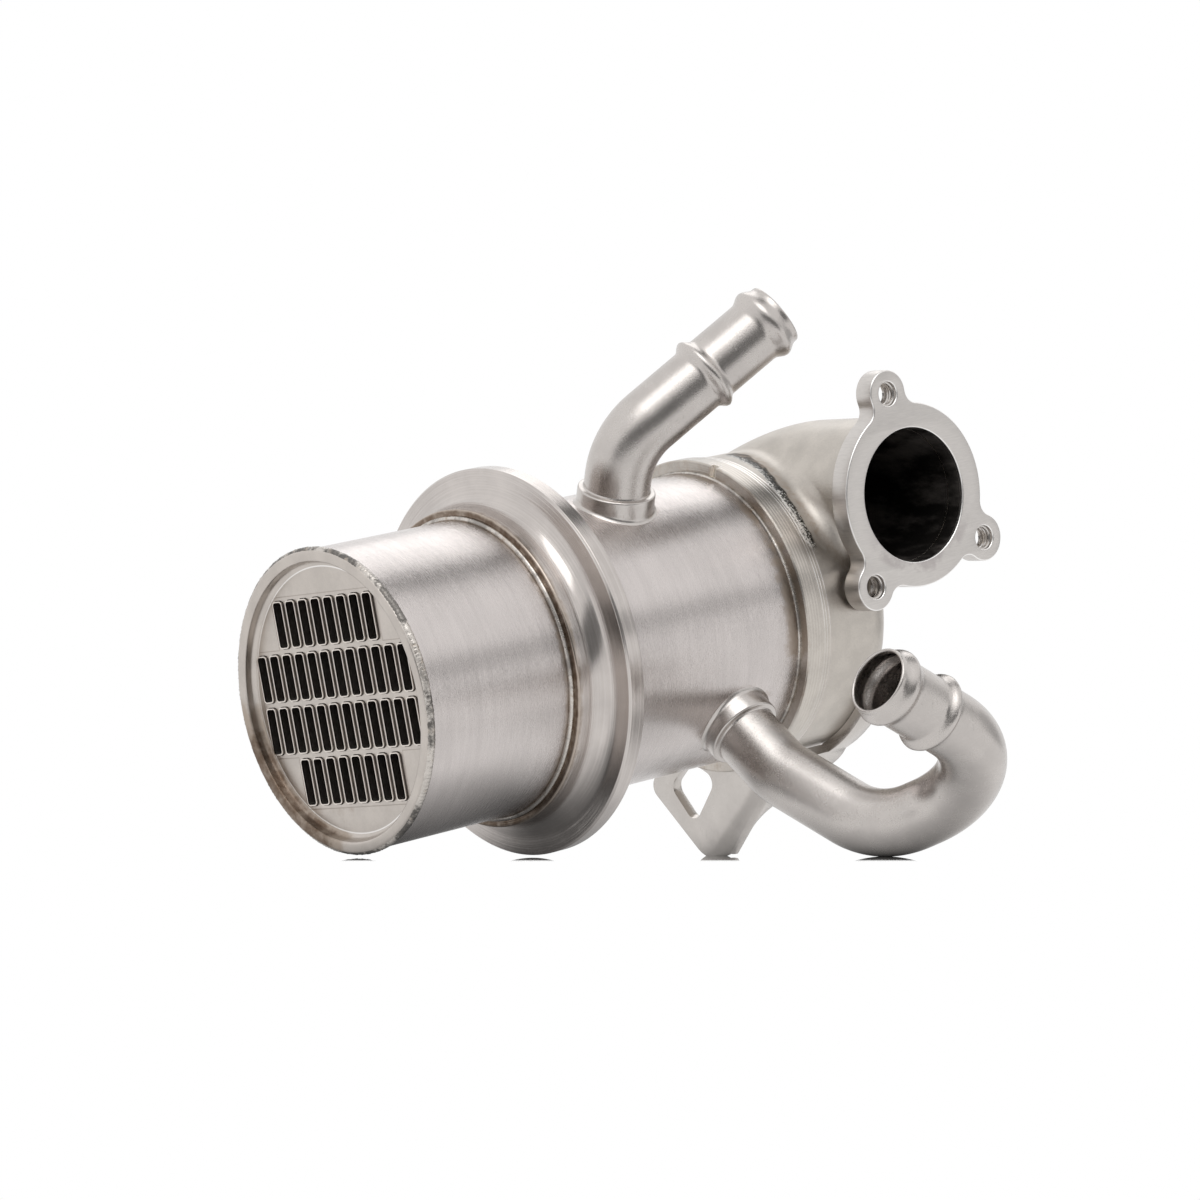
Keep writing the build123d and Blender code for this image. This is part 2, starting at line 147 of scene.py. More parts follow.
class WeldSizes(bpy.types.PropertyGroup):
    """Sizes of the weld beads."""

    mouth_bead: length("Mouth bead", "Radius of the bead round the inlet mouth", 1.25)
    hub_bead: length("Hub bead", "Radius of the bead in front of the ring's hub", 0.75)
    seam_bead: length("Seam bead", "Radius of the bead along the rear seam", 0.55)
    outlet_bead: length("Outlet bead", "Radius of the bead behind the outlet plate", 0.9)
    ripple: length("Ripple", "Distance between two ripples of a bead", 1.1)
    unevenness: length("Unevenness", "Height of the random bumps on a bead", 0.55)


class FinishColours(bpy.types.PropertyGroup):
    """Colours of the metal."""

    shell: colour("Shell", "Brushed shell", (0.605, 0.562, 0.545))
    plate: colour("Plate", "Inlet plate", (0.56, 0.515, 0.475))
    ring: colour("Ring", "Turned ring", (0.56, 0.52, 0.495))
    casting: colour("Casting", "Blasted casting", (0.56, 0.52, 0.475))
    milled: colour("Milled plate", "Outlet plate", (0.62, 0.59, 0.565))
    pipe: colour("Pipes", "Satin pipes", (0.56, 0.525, 0.50))
    bracket: colour("Bracket", "Pressed sheet", (0.57, 0.535, 0.505))
    weld: colour("Weld", "Weld metal", (0.62, 0.58, 0.54))
    # Painted shade colour for deep inner walls.
    inner_shade: colour("Painted_shade", "Dark inner walls", (0.030, 0.027, 0.025))
    straw: colour("Straw tint", "Light heat tint", (0.38, 0.31, 0.25))
    brown: colour("Brown tint", "Strong heat tint", (0.15, 0.105, 0.075))


class StageSettings(bpy.types.PropertyGroup):
    """Floor, surroundings and reflection cards."""

    floor_colour: colour("Floor", "Pale floor", (0.85, 0.85, 0.85))
    fill: factor("Fill", "Brightness of the surroundings for matt surfaces", 0.65)
    shade_reach: length("Shade reach", "How far from the cooler the floor turns pale again", 27.0)
    front_grey: factor("Front grey", "Brightness of the room on the camera's side", 0.20)
    side_grey: factor("Side grey", "Brightness of the darker cards", 0.16)


class CoolerSettings(bpy.types.PropertyGroup):
    """All settings of the cooler."""

    plate: bpy.props.PointerProperty(type=PlateSizes, name="Plate")
    pipes: bpy.props.PointerProperty(type=PipeSizes, name="Pipes")
    welds: bpy.props.PointerProperty(type=WeldSizes, name="Welds")
    colours: bpy.props.PointerProperty(type=FinishColours, name="Colours")
    stage: bpy.props.PointerProperty(type=StageSettings, name="Stage")


def settings():
    """The scene's cooler settings."""
    return bpy.context.scene.gas_cooler


def linked(name, data):
    """New object in the scene."""
    made = bpy.data.objects.new(name, data)
    bpy.context.scene.collection.objects.link(made)
    return made


def rgba(value, scale=1.0):
    """Colour with full alpha, made darker or lighter by a scale."""
    return (*(min(1.0, part * scale) for part in value), 1.0)


class Graph:
    """Short way to fill a node tree."""

    def __init__(self, tree):
        self.tree = tree

    def add(self, kind, inputs=None, **options):
        """Add a node. Its inputs take values or sockets, by name or number."""
        node = self.tree.nodes.new(kind)
        for key, value in options.items():
            setattr(node, key, value)
        for key, value in (inputs or {}).items():
            self.feed(node.inputs[key], value)
        return node

    def made(self, kind, inputs=None, **options):
        """First output of a new node."""
        return self.add(kind, inputs, **options).outputs[0]

    def feed(self, socket, value):
        """Link a socket to an input, or set the input's value."""
        if isinstance(value, bpy.types.NodeSocket):
            self.tree.links.new(value, socket)
        else:
            socket.default_value = value

    def math(self, operation, *values):
        """Result of one maths node."""
        return self.made("ShaderNodeMath", dict(enumerate(values)), operation=operation)

    def chained(self, operation, first, *others):
        """Result of one operation over any count of values."""
        for other in others:
            first = self.math(operation, first, other)
        return first

    def times(self, *values):
        """Product of the values."""
        return self.chained("MULTIPLY", *values)

    def largest(self, *values):
        """Largest of the values."""
        return self.chained("MAXIMUM", *values)

    def scaled(self, value, scale, start):
        """Start plus the value times the scale."""
        return self.math("MULTIPLY_ADD", value, scale, start)

    def vector(self, operation, *values):
        """Result of one vector maths node."""
        node = self.add("ShaderNodeVectorMath", dict(enumerate(values)), operation=operation)
        return node.outputs["Value" if operation in ("LENGTH", "DOT_PRODUCT", "DISTANCE") else "Vector"]

    def noise(self, place, scale, detail=3.0, roughness=0.55):
        """Value of a noise texture."""
        inputs = {"Vector": place, "Scale": scale, "Detail": detail, "Roughness": roughness}
        return self.add("ShaderNodeTexNoise", inputs).outputs["Fac"]

    def span(self, value, low, high, start=0.0, end=1.0):
        """Smooth change from start to end as the value goes from low to high."""
        inputs = {"Value": value, "From Min": low, "From Max": high, "To Min": start, "To Max": end}
        return self.made("ShaderNodeMapRange", inputs, interpolation_type="SMOOTHSTEP")

    def fall(self, value, low, high, start=1.0, end=0.0):
        """Smooth fall as the value goes from low to high."""
        return self.span(value, low, high, start, end)

    def close(self, value, middle, inner, outer, start=1.0, end=0.0):
        """Smooth fall as the value goes from the inner to the outer distance from a middle."""
        distance = self.math("ABSOLUTE", self.math("SUBTRACT", value, middle))
        return self.span(distance, inner, outer, start, end)

    def blend(self, share, first, second):
        """Mix of two colours."""
        return self.add("ShaderNodeMix", {0: share, 6: first, 7: second}, data_type="RGBA").outputs[2]

    def tones(self, value, base, dark, light, low=0.35, high=0.65):
        """A colour that goes from a darker to a lighter tone with the value."""
        return self.blend(self.span(value, low, high), rgba(base, dark), rgba(base, light))

    def mixed(self, share, first, second):
        """Mix of two shaders."""
        return self.made("ShaderNodeMixShader", {0: share, 1: first, 2: second})

    def normal(self):
        """Direction that the surface faces."""
        return self.add("ShaderNodeNewGeometry").outputs["Normal"]


def cleared(owner):
    """Graph of a material's or world's emptied node tree."""
    owner.use_nodes = True
    owner.node_tree.nodes.clear()
    return Graph(owner.node_tree)


def socket_kind(label, default):
    """Kind of a group's input, told by its default value or else by its label."""
    if isinstance(default, bpy.types.Material):
        return "NodeSocketMaterial"
    if isinstance(default, tuple):
        return "NodeSocketVector" if len(default) == 3 else "NodeSocketColor"
    kinds = {type(None): label, int: "Int", float: "Float"}
    return "NodeSocket" + kinds[type(default)]


def new_group(name, fill, inputs, kind="ShaderNodeTree"):
    """Node group with named inputs. Its fill function gives the value of each named output."""
    tree = bpy.data.node_groups.new(name, kind)
    for label, default in inputs.items():
        socket = tree.interface.new_socket(label, in_out="INPUT", socket_type=socket_kind(label, default))
        if default is not None:
            socket.default_value = default
    graph = Graph(tree)
    values = fill(graph, graph.add("NodeGroupInput").outputs)
    for label in values:
        output_kind = label if label in ("Color", "Geometry") else "Float"
        tree.interface.new_socket(label, in_out="OUTPUT", socket_type="NodeSocket" + output_kind)
    graph.add("NodeGroupOutput", values)
    return tree


def streaks(graph, given):
    """Fine lines drawn out along the directions that the stretch makes small."""
    place = graph.vector("MULTIPLY", given["Vector"], given["Stretch"])
    centred = graph.math("SUBTRACT", graph.noise(place, 1.0, 4.0, 0.7), 0.5)
    return {"Mask": graph.scaled(centred, given["Contrast"], 0.5)}


def turning(graph, given):
    """Lathe lines: they run round the gas axis on faces and on cylinders alike."""
    station, side, _ = graph.add("ShaderNodeSeparateXYZ", {0: given["Vector"]}).outputs
    radius = graph.vector("LENGTH", graph.vector("MULTIPLY", given["Vector"], (0, 1, 1)))
    lines = [graph.times(value, given["Lines"]) for value in (station, radius)]
    place = graph.made("ShaderNodeCombineXYZ", dict(enumerate((*lines, graph.times(side, 25.0)))))
    return {"Mask": graph.noise(place, 1.0, 3.0, 0.6), "Radius": radius, "Station": station}


def line_distance(graph, given):
    """Distance from a straight line, and the way along it from its point."""
    arm = graph.vector("SUBTRACT", given["Vector"], given["Point"])
    distance = graph.vector("LENGTH", graph.vector("CROSS_PRODUCT", arm, given["Direction"]))
    return {"Distance": distance, "Along": graph.vector("DOT_PRODUCT", arm, given["Direction"])}


def heat_tint(graph, given):
    """Straw to brown oxide colour where the mask is high, with a ragged edge."""
    ragged = graph.noise(given["Vector"], given["Grain"], 4.0, 0.65)
    shifted = graph.scaled(graph.math("SUBTRACT", ragged, 0.5), 0.9, given["Mask"])
    pale = graph.span(shifted, 0.15, 0.6)
    tinted = graph.blend(graph.times(pale, 0.75), given["Metal"], given["Straw"])
    return {"Color": graph.blend(graph.span(shifted, 0.65, 1.15), tinted, given["Brown"]), "Amount": pale}


def blasted(graph, given):
    """Height and tone of a finely blasted or cast skin with a few pits."""
    grain = graph.noise(given["Vector"], given["Grain"], 3.0, 0.65)
    cloud = graph.noise(given["Vector"], 140.0)
    pits = graph.add("ShaderNodeTexVoronoi", {"Vector": given["Vector"], "Scale": 420.0}).outputs["Distance"]
    height = graph.math("ADD", grain, graph.span(pits, 0.0, 0.16, -0.5, 0.0))
    return {"Height": height, "Tone": graph.scaled(grain, 0.35, graph.times(cloud, 0.65))}


METAL = (0.6, 0.6, 0.6, 1.0)
SHARED = {
    "streaks": (streaks, {"Vector": None, "Stretch": (1, 1, 1), "Contrast": 1.0}),
    "turning": (turning, {"Vector": None, "Lines": 3000.0}),
    "line_distance": (line_distance, {"Vector": None, "Point": (0, 0, 0), "Direction": (0, 0, 1)}),
    "heat_tint": (
        heat_tint,
        {"Vector": None, "Mask": 0.0, "Metal": METAL, "Straw": METAL, "Brown": METAL, "Grain": 350.0},
    ),
    "blasted": (blasted, {"Vector": None, "Grain": 2600.0}),
}
GROUPS = {}


class Metal(Graph):
    """Graph of a new metal material over the object's own coordinates."""

    def __init__(self, name):
        self.material = bpy.data.materials.new(name)
        super().__init__(cleared(self.material).tree)
        output = self.add("ShaderNodeOutputMaterial")
        self.shader = self.add("ShaderNodeBsdfPrincipled", {"Metallic": 1.0})
        self.feed(output.inputs[0], self.shader.outputs[0])
        self.place = self.add("ShaderNodeTexCoord").outputs["Object"]

    def sides(self):
        """The three coordinates of the place."""
        return self.add("ShaderNodeSeparateXYZ", {0: self.place}).outputs

    def cloud(self, scale, detail=3.0, roughness=0.55):
        """Noise over the place."""
        return self.noise(self.place, scale, detail, roughness)

    def shared(self, name, **inputs):
        """Outputs of a shared node group, which is built the first time that it is asked for."""
        if name not in GROUPS:
            GROUPS[name] = new_group(name, *SHARED[name])
        return self.add("ShaderNodeGroup", {"Vector": self.place, **inputs}, node_tree=GROUPS[name]).outputs

    def streaks(self, stretch, contrast=1.0):
        """Mask of fine drawn-out lines."""
        return self.shared("streaks", Stretch=stretch, Contrast=contrast)["Mask"]

    def tinted(self, mask, metal, colours, **grain):
        """Metal with heat tint where the mask is high."""
        tints = {"Straw": rgba(colours.straw), "Brown": rgba(colours.brown)}
        return self.shared("heat_tint", Mask=mask, Metal=metal, **tints, **grain)

    def inner_shade(self, colours):
        """Painted shade for inner walls: charcoal colour with paler clouds."""
        flat = self.vector("MULTIPLY", self.place, (1.0, 0.35, 1.0))
        return self.tones(self.noise(flat, 130.0, 4.0, 0.6), colours.inner_shade, 1.0, 9.0, 0.40, 0.72)

    def finish(self, base, roughness, height=None, strength=0.0, depth=0.0):
        """Feed the shader, with a bump where a height is given, and give the material."""
        self.feed(self.shader.inputs["Base Color"], base)
        self.feed(self.shader.inputs["Roughness"], roughness)
        if height:
            inputs = {"Strength": strength, "Distance": depth, "Height": height}
            self.feed(self.shader.inputs["Normal"], self.made("ShaderNodeBump", inputs))
        return self.material


def port_line(station, degrees):
    """A point on the gas axis and the direction of a port's axis."""
    turn = math.radians(degrees)
    return Vector((station * MM, 0, 0)), Vector((0, -math.cos(turn), math.sin(turn)))


UPPER_PORT = port_line(91.9, 68.3)
LOWER_PORT = port_line(110.6, -40.0)
PIPE_FOOT = SHELL_RADIUS - 1.5 * MM


def shell_finish(colours):
    """Brushed shell with fine lines round it, heat tint at its welds and ports, and a darkening in front of
    the seam that is partly burn and partly painted shade.
    """
    graph = Metal("shell_brushed")
    fine = graph.streaks((5200.0, 330.0, 330.0))
    broad = graph.streaks((420.0, 30.0, 30.0))
    station, side, height = graph.sides()
    hub = graph.close(station, 0.0478, 0.0004, 0.0030, 0.5)
    before_seam = graph.math("SUBTRACT", SEAM_STATION, station)
    patchy = graph.span(graph.cloud(45.0, 2.0), 0.35, 0.62, 0.15, 0.8)
    seam = graph.times(graph.fall(before_seam, 0.0002, 0.0075), patchy)
    ports = []
    for point, direction in (UPPER_PORT, LOWER_PORT):
        port = graph.shared("line_distance", Point=point, Direction=direction)
        ring = graph.fall(port["Distance"], 0.0105, 0.0145, 0.3)
        ports.append(graph.times(ring, graph.span(port["Along"], 0.010, 0.020)))
    tone = graph.scaled(broad, 0.5, graph.times(graph.cloud(55.0, 2.0), 0.5))
    base = graph.tones(tone, colours.shell, 0.94, 1.05)
    # Darkening in front of the seam: partly burn, partly painted shade beside the housing's lip.
    ragged = graph.scaled(graph.cloud(130.0, 4.0, 0.6), 0.010, before_seam)
    burn_and_shade = graph.times(
        graph.fall(ragged, 0.0055, 0.0125, 0.9),
        graph.close(height, 0.012, 0.005, 0.020, 1.0, 0.12),
        graph.fall(side, -0.03, -0.01, 1.0, 0.3),
    )
    base = graph.blend(burn_and_shade, base, rgba(colours.shell, 0.33))
    tinted = graph.tinted(graph.largest(hub, seam, *ports), base, colours)
    rough = graph.scaled(graph.span(fine, 0.3, 0.7), 0.10, 0.20)
    rough = graph.scaled(tinted["Amount"], 0.12, rough)
    return graph.finish(tinted["Color"], rough, fine, 0.4, 0.00011)


def ring_finish(colours):
    """Turned ring with lathe lines and heat tint at its hub."""
    graph = Metal("ring_turned")
    turned = graph.shared("turning", Lines=2600.0)
    tone = graph.scaled(turned["Mask"], 0.4, graph.times(graph.cloud(70.0), 0.6))
    base = graph.tones(tone, colours.ring, 0.9, 1.08)
    hub_radius = SHELL_RADIUS + 0.0022
    low = graph.fall(turned["Radius"], hub_radius, hub_radius + 0.0015)
    mask = graph.times(graph.close(turned["Station"], 0.0483, 0.0, 0.0030), low)
    tinted = graph.tinted(mask, base, colours)
    roughness = graph.scaled(turned["Mask"], 0.10, 0.15)
    return graph.finish(tinted["Color"], roughness, turned["Mask"], 0.5, 0.00010)


def satin_finish(name, base, roughness, grain, depth):
    """Satin steel with a fine grain, faint clouds and a few short scratches."""
    graph = Metal(name)
    skin = graph.shared("blasted", Grain=grain)
    scratches = graph.span(graph.streaks((1500.0, 1500.0, 350.0), 1.6), 0.72, 0.78)
    relief = graph.scaled(scratches, -0.6, skin["Height"])
    rough = graph.scaled(skin["Tone"], 0.08, roughness - 0.02)
    return graph.finish(graph.tones(skin["Tone"], base, 0.94, 1.04), rough, relief, 0.5, depth)


def dark_finish(name, colours, mouth, heading, bright):
    """Inner wall of a tube: dimmed metal at its mouth, darker painted shade further in."""
    graph = Metal(name)
    along = graph.shared("line_distance", Point=mouth, Direction=heading)["Along"]
    base = graph.blend(graph.span(along, -bright, 0.0), rgba(colours.inner_shade, 0.4), rgba(colours.pipe, 0.22))
    return graph.finish(base, graph.span(graph.cloud(700.0), 0.3, 0.7, 0.45, 0.55))


def weld_finish(name, colours, darkest, grain_scale, depth):
    """Weld metal: bright grains between darker ones, in patches, with some heat tint."""
    graph = Metal(name)
    grain = graph.cloud(grain_scale, 3.0, 0.7)
    bright = graph.span(graph.scaled(graph.cloud(65.0, 2.0), 1.6, grain), 1.10, 1.40)
    scorch = graph.fall(graph.vector("DISTANCE", graph.place, SCORCHED_SPOT), 0.0035, 0.0085)
    bright = graph.times(bright, graph.fall(graph.math("SUBTRACT", scorch, grain), -0.1, 0.2, 1.0, 0.15))
    speckled = graph.blend(bright, rgba(colours.weld, darkest), rgba(colours.weld))
    mask = graph.span(graph.cloud(240.0, 4.0, 0.7), 0.45, 0.75, 0.0, 0.6)
    tinted = graph.tinted(mask, speckled, colours, Grain=700.0)
    skin = graph.shared("blasted", Grain=1500.0)
    rough = graph.span(grain, 0.35, 0.65, 0.42, 0.2)
    return graph.finish(tinted["Color"], rough, skin["Height"], 0.8, depth)


def tube_finish(colours, mouth):
    """Painted highlight on the tube's end, brown painted shade along its outer wall."""
    graph = Metal("gas_tube_steel")
    depth = graph.math("SUBTRACT", graph.sides()[0], mouth)
    cloud = graph.cloud(900.0)
    # Painted shade along the outer wall, in the recess between neighbouring tubes.
    wall = graph.blend(cloud, rgba(colours.plate, 0.35), rgba(colours.plate, 0.75))
    # Painted highlight on the tube's end.
    base = graph.blend(graph.span(depth, 0.00004, 0.00022), rgba(colours.plate, 1.35), wall)
    return graph.finish(base, graph.span(depth, 0.0001, 0.0007, 0.26, 0.45), cloud, 0.3, 0.00005)


def bundle_matrix(clocking, station):
    """Takes the flat layout of the tube bundle to its place across the gas axis."""
    lean, rise = math.cos(clocking), math.sin(clocking)
    return Matrix(((0, 0, 1, station), (lean, rise, 0, 0), (-rise, lean, 0, 0), (0, 0, 0, 1)))


def plate_finish(colours, plate):
    """Satin sheet with a painted highlight line round the disc's edge, a faint step round each row and brown
    stains.
    """
    graph = Metal("inlet_plate_satin")
    skin = graph.shared("blasted", Grain=2200.0)
    radius = graph.shared("turning")["Radius"]
    _, side, rise = graph.sides()
    axes = [tuple(column[:3]) for column in bundle_matrix(plate.clocking, 0).col[:2]]
    across, height = (graph.math("ABSOLUTE", graph.vector("DOT_PRODUCT", graph.place, axis)) for axis in axes)
    half = plate.slot_height / 2 + plate.tube_wall
    rows = []
    for share, count in ((0.5, TUBES_IN_ROW[1]), (1.5, TUBES_IN_ROW[0])):
        reach = (count - 1) / 2 * plate.column_pitch + plate.slot_width / 2 + plate.tube_wall
        off = graph.math("ABSOLUTE", graph.math("SUBTRACT", height, share * plate.row_pitch))
        beyond = graph.math("SUBTRACT", across, reach)
        rows.append(graph.largest(beyond, graph.math("SUBTRACT", off, half)))
    outside = graph.math("MINIMUM", *rows)
    step = graph.span(outside, 0.0008, 0.00115)
    line = graph.times(
        graph.close(outside, 0.00105, 0.00004, 0.0002, 0.35), graph.fall(radius, 0.0345, 0.0350)
    )
    stain = graph.times(
        graph.fall(rise, -0.014, 0.006), graph.span(radius, 0.0345, 0.0365), graph.span(side, -0.004, 0.012)
    )
    low = graph.times(graph.fall(rise, -0.029, -0.028), graph.fall(outside, 0.0015, 0.004, 0.22, 0.066))
    base = graph.tones(skin["Tone"], colours.plate, 0.92, 1.06)
    tinted = graph.tinted(graph.largest(stain, low), base, colours, Grain=240.0)
    base = graph.blend(line, tinted["Color"], rgba(colours.brown))
    # Painted highlight along the disc's edge.
    edge = PLATE_RADIUS - plate.sheet - plate.form_radius
    base = graph.blend(graph.close(radius, edge, 0.00008, 0.00026, 0.8), base, PAINTED_HIGHLIGHT)
    rough = graph.scaled(tinted["Amount"], 0.1, graph.scaled(skin["Tone"], 0.16, 0.24))
    return graph.finish(base, rough, graph.scaled(step, -1.5, skin["Height"]), 0.5, 0.00006)


def casting_finish(colours):
    """Blasted casting with turned bands at its socket, painted highlights and shade on the bands, a dark
    crease of painted shade at the duct and painted shade on the inner walls.
    """
    graph = Metal("cast_housing_blasted")
    turned = graph.shared("turning", Lines=2400.0)
    station, radius = turned["Station"], turned["Radius"]
    skin = graph.shared("blasted", Grain=1900.0)
    duct = graph.shared("line_distance", **DUCT_LINE)
    height = graph.sides()[2]
    machined = graph.fall(station, BAND_END, 0.1385)
    outlet_side = graph.fall(duct["Along"], 0.044, 0.054)

    # Brown tint, a crease of painted shade speckled black and pale, and painted shade at the foot of the duct
    crease = graph.times(
        graph.close(duct["Distance"], 0.0262, 0.0006, 0.0034),
        graph.fall(radius, 0.0430, 0.0455),
        graph.fall(station, 0.150, 0.157),
        graph.span(height, -0.010, 0.010),
        outlet_side,
    )
    wander = graph.scaled(graph.cloud(160.0, 2.0), 0.0030, duct["Distance"])
    foot = graph.scaled(graph.math("SUBTRACT", height, DUCT_END.z), -0.13, 0.0313)
    off_foot = graph.math("SUBTRACT", wander, foot)
    patch = graph.times(
        graph.close(off_foot, 0.0, 0.0006, 0.0026),
        graph.span(station, 0.1352, 0.1358),
        graph.fall(station, 0.157, 0.161),
        graph.span(height, 0.013, 0.022),
        outlet_side,
    )
    crease_shade = graph.span(patch, 0.25, 0.7)
    speck = graph.cloud(1900.0, 3.0, 0.8)
    threshold = graph.scaled(off_foot, -60.0, graph.span(height, 0.026, 0.038, 0.50, 0.60))
    above = graph.span(graph.math("SUBTRACT", speck, threshold), -0.05, 0.05)
    # Painted shade below the foot of the duct.
    foot_shade = graph.times(
        graph.span(off_foot, -0.0080, -0.0005),
        graph.span(height, 0.0, 0.015),
        graph.span(station, BAND_END, 0.1384, 0.0, 0.55),
        graph.span(graph.cloud(90.0), 0.3, 0.6, 0.4, 1.0),
        outlet_side,
    )
    base = graph.tones(skin["Tone"], colours.casting, 0.91, 1.07)
    base = graph.blend(foot_shade, base, rgba(colours.casting, 0.45))
    # Painted shade in the crease, broken by pale specks.
    base = graph.blend(crease_shade, base, graph.blend(above, CREASE_SHADE_SPECK, PALE_SPECK))

    # Painted highlights on the ridges and painted shade in the valleys of the turned bands, and the pale
    # notch
    ridge = graph.times(
        graph.largest(*(graph.close(station, spot, 0.00004, 0.00016) for spot in BAND_RIDGES)),
        graph.span(radius, 0.0420, 0.0425),
        graph.span(height, -0.012, 0.015, 0.12, 1.0),
    )
    wave = graph.math("PINGPONG", graph.math("SUBTRACT", station, BAND_START), 0.0005)
    valley_shade = graph.times(graph.span(wave, 0.0, 0.0005), machined, graph.span(height, -0.01, 0.03, 0.1, 0.45))
    base = graph.blend(valley_shade, base, rgba(colours.casting, 0.35))
    base = graph.blend(ridge, base, PAINTED_HIGHLIGHT)
    notch = graph.shared("line_distance", **NOTCH_LINE)
    in_notch = graph.times(
        graph.fall(notch["Distance"], 0.0014, 0.0018), graph.span(notch["Along"], 0.03, 0.035)
    )
    base = graph.blend(in_notch, base, PALE_NOTCH)
    seam = graph.fall(graph.math("SUBTRACT", station, SEAM_STATION), 0.0, 0.0012, 0.25)
    tinted = graph.tinted(graph.largest(graph.times(crease, 0.35), seam), base, colours, Grain=520.0)

    # Painted shade on the walls of the duct and the chamber that face inwards
    bore = graph.times(graph.fall(duct["Distance"], 0.0185, 0.0189), graph.fall(duct["Along"], 0.052, 0.056))
    chamber = graph.times(
        graph.fall(radius, 0.0400, 0.0403),
        graph.span(station, 0.1360, 0.1363),
        graph.fall(station, 0.1612, 0.1615),
    )
    inner_walls = []
    bore_middle, chamber_middle = (DUCT_END.x, -0.02, DUCT_END.z), (0.150, 0.0, 0.0)
    for wall, middle in ((bore, bore_middle), (chamber, chamber_middle)):
        arm = graph.vector("SUBTRACT", graph.place, middle)
        outwards = graph.vector("DOT_PRODUCT", graph.normal(), arm)
        inner_walls.append(graph.times(wall, graph.fall(outwards, -0.002, 0.0005)))
    inner = graph.largest(*inner_walls)

    rough = graph.scaled(skin["Tone"], 0.10, 0.32)
    for mask, change in ((machined, -0.12), (crease, 0.2), (in_notch, 0.6), (inner, 0.35)):
        rough = graph.scaled(mask, change, rough)
    relief = graph.blend(machined, skin["Height"], turned["Mask"])
    relief = graph.blend(crease_shade, relief, graph.times(speck, 3.0))
    base = graph.blend(inner, tinted["Color"], graph.inner_shade(colours))
    return graph.finish(base, rough, relief, 0.45, 0.00012)


def milled_finish(colours):
    """Milled outlet plate: faint straight marks, stains under the bore, painted highlights on the bevels and
    painted shade in the bore.
    """
    graph = Metal("outlet_plate_milled")
    marks = graph.streaks((260.0, 260.0, 2600.0))
    bore = graph.shared("line_distance", **DUCT_LINE)
    stain = graph.times(
        graph.fall(graph.sides()[2], 0.010, 0.022, 0.5),
        graph.fall(bore["Distance"], 0.0205, 0.0225),
        graph.span(graph.cloud(120.0, 4.0, 0.6), 0.42, 0.56),
    )
    base = graph.tones(marks, colours.milled, 0.93, 1.05, 0.3, 0.7)
    base = graph.blend(stain, base, GREY_STAIN)
    facing = graph.vector("DOT_PRODUCT", graph.normal(), (0.0, -1.0, 0.0))
    # Painted highlight on the bevels.
    base = graph.blend(graph.close(facing, 0.7, 0.15, 0.3), base, PAINTED_HIGHLIGHT)
    # Painted shade in the bore.
    inner = graph.times(
        graph.fall(bore["Distance"], 0.0184, 0.0187), graph.span(bore["Along"], 0.0004, 0.0012)
    )
    rough = graph.scaled(inner, 0.4, graph.scaled(marks, 0.12, 0.26))
    return graph.finish(graph.blend(inner, base, graph.inner_shade(colours)), rough, marks, 0.25, 0.00003)


def to_object(name, mesh, materials, replaced, crease=32.0):
    """Link a finished mesh as a piece on the body, in place of its CAD nodes."""
    mesh.name = name
    mesh.shade_smooth()
    mesh.set_sharp_from_angle(angle=math.radians(crease))
    mesh.materials.clear()
    for material in materials:
        mesh.materials.append(material)
    piece = linked(name, mesh)
    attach(piece, BODY)
    if replaced:
        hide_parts(*replaced)


def dress(node, material):
    """Give a CAD piece that stays as it is its finish."""
    materials = frame["nodes"][node].data.materials
    materials.clear()
    materials.append(material)


def turns(count):
    """Angles of evenly spread points on a circle."""
    return [2 * math.pi * step / count for step in range(count)]


def circle_points(centre, radius, count):
    """Points of a flat circle."""
    x, y = centre
    return [(x + radius * math.cos(turn), y + radius * math.sin(turn)) for turn in turns(count)]


def mesh_from_rings(rings, closed=True, material_index=None):
    """Bmesh skin over rings of equal length. Each ring is closed on itself."""
    bm = bmesh.new()
    rows = [[bm.verts.new(point) for point in ring] for ring in rings]
    pairs = list(zip(rows, rows[1:]))
    if closed:
        pairs.append((rows[-1], rows[0]))
    for number, (lower, upper) in enumerate(pairs):
        for index in range(len(lower)):
            after = (index + 1) % len(lower)
            face = bm.faces.new((lower[index], lower[after], upper[after], upper[index]))
            if material_index:
                face.material_index = material_index[number]
    return bm


def lathe(profile, segments, closed=True):
    """Skin of a profile of (station, radius) turned about the gas axis."""
    rings = [
        [Vector((station, radius * math.cos(turn), radius * math.sin(turn))) for turn in turns(segments)]
        for station, radius in profile
    ]
    return mesh_from_rings(rings, closed)


def corner_arc(before, here, after, radius):
    """Directions along both legs of a corner, half its angle, and the centre of its rounding."""
    back, ahead = (before - here).normalized(), (after - here).normalized()
    half = back.angle(ahead) / 2
    return back, ahead, half, here + (back + ahead).normalized() * (radius / math.sin(half))


def rounded(corners, radii, steps=5):
    """Flat closed outline with its corners rounded by arcs. A radius of 0 keeps the corner."""
    corners = [Vector(corner) for corner in corners]
    points = []
    for index, (here, radius) in enumerate(zip(corners, radii)):
        if radius == 0:
            points.append(here)
            continue
        after = corners[(index + 1) % len(corners)]
        back, ahead, half, centre = corner_arc(corners[index - 1], here, after, radius)
        reach = radius / math.tan(half)
        start = here + back * reach - centre
        turn = start.angle_signed(here + ahead * reach - centre)
        for step in range(steps + 1):
            spin = -turn * step / steps
            c, s = math.cos(spin), math.sin(spin)
            points.append(centre + Vector((start.x * c - start.y * s, start.x * s + start.y * c)))
    return points


def mesh_of(bm):
    """Plain mesh of a bmesh, which is freed."""
    mesh = bpy.data.meshes.new("piece")
    bm.to_mesh(mesh)
    bm.free()
    return mesh


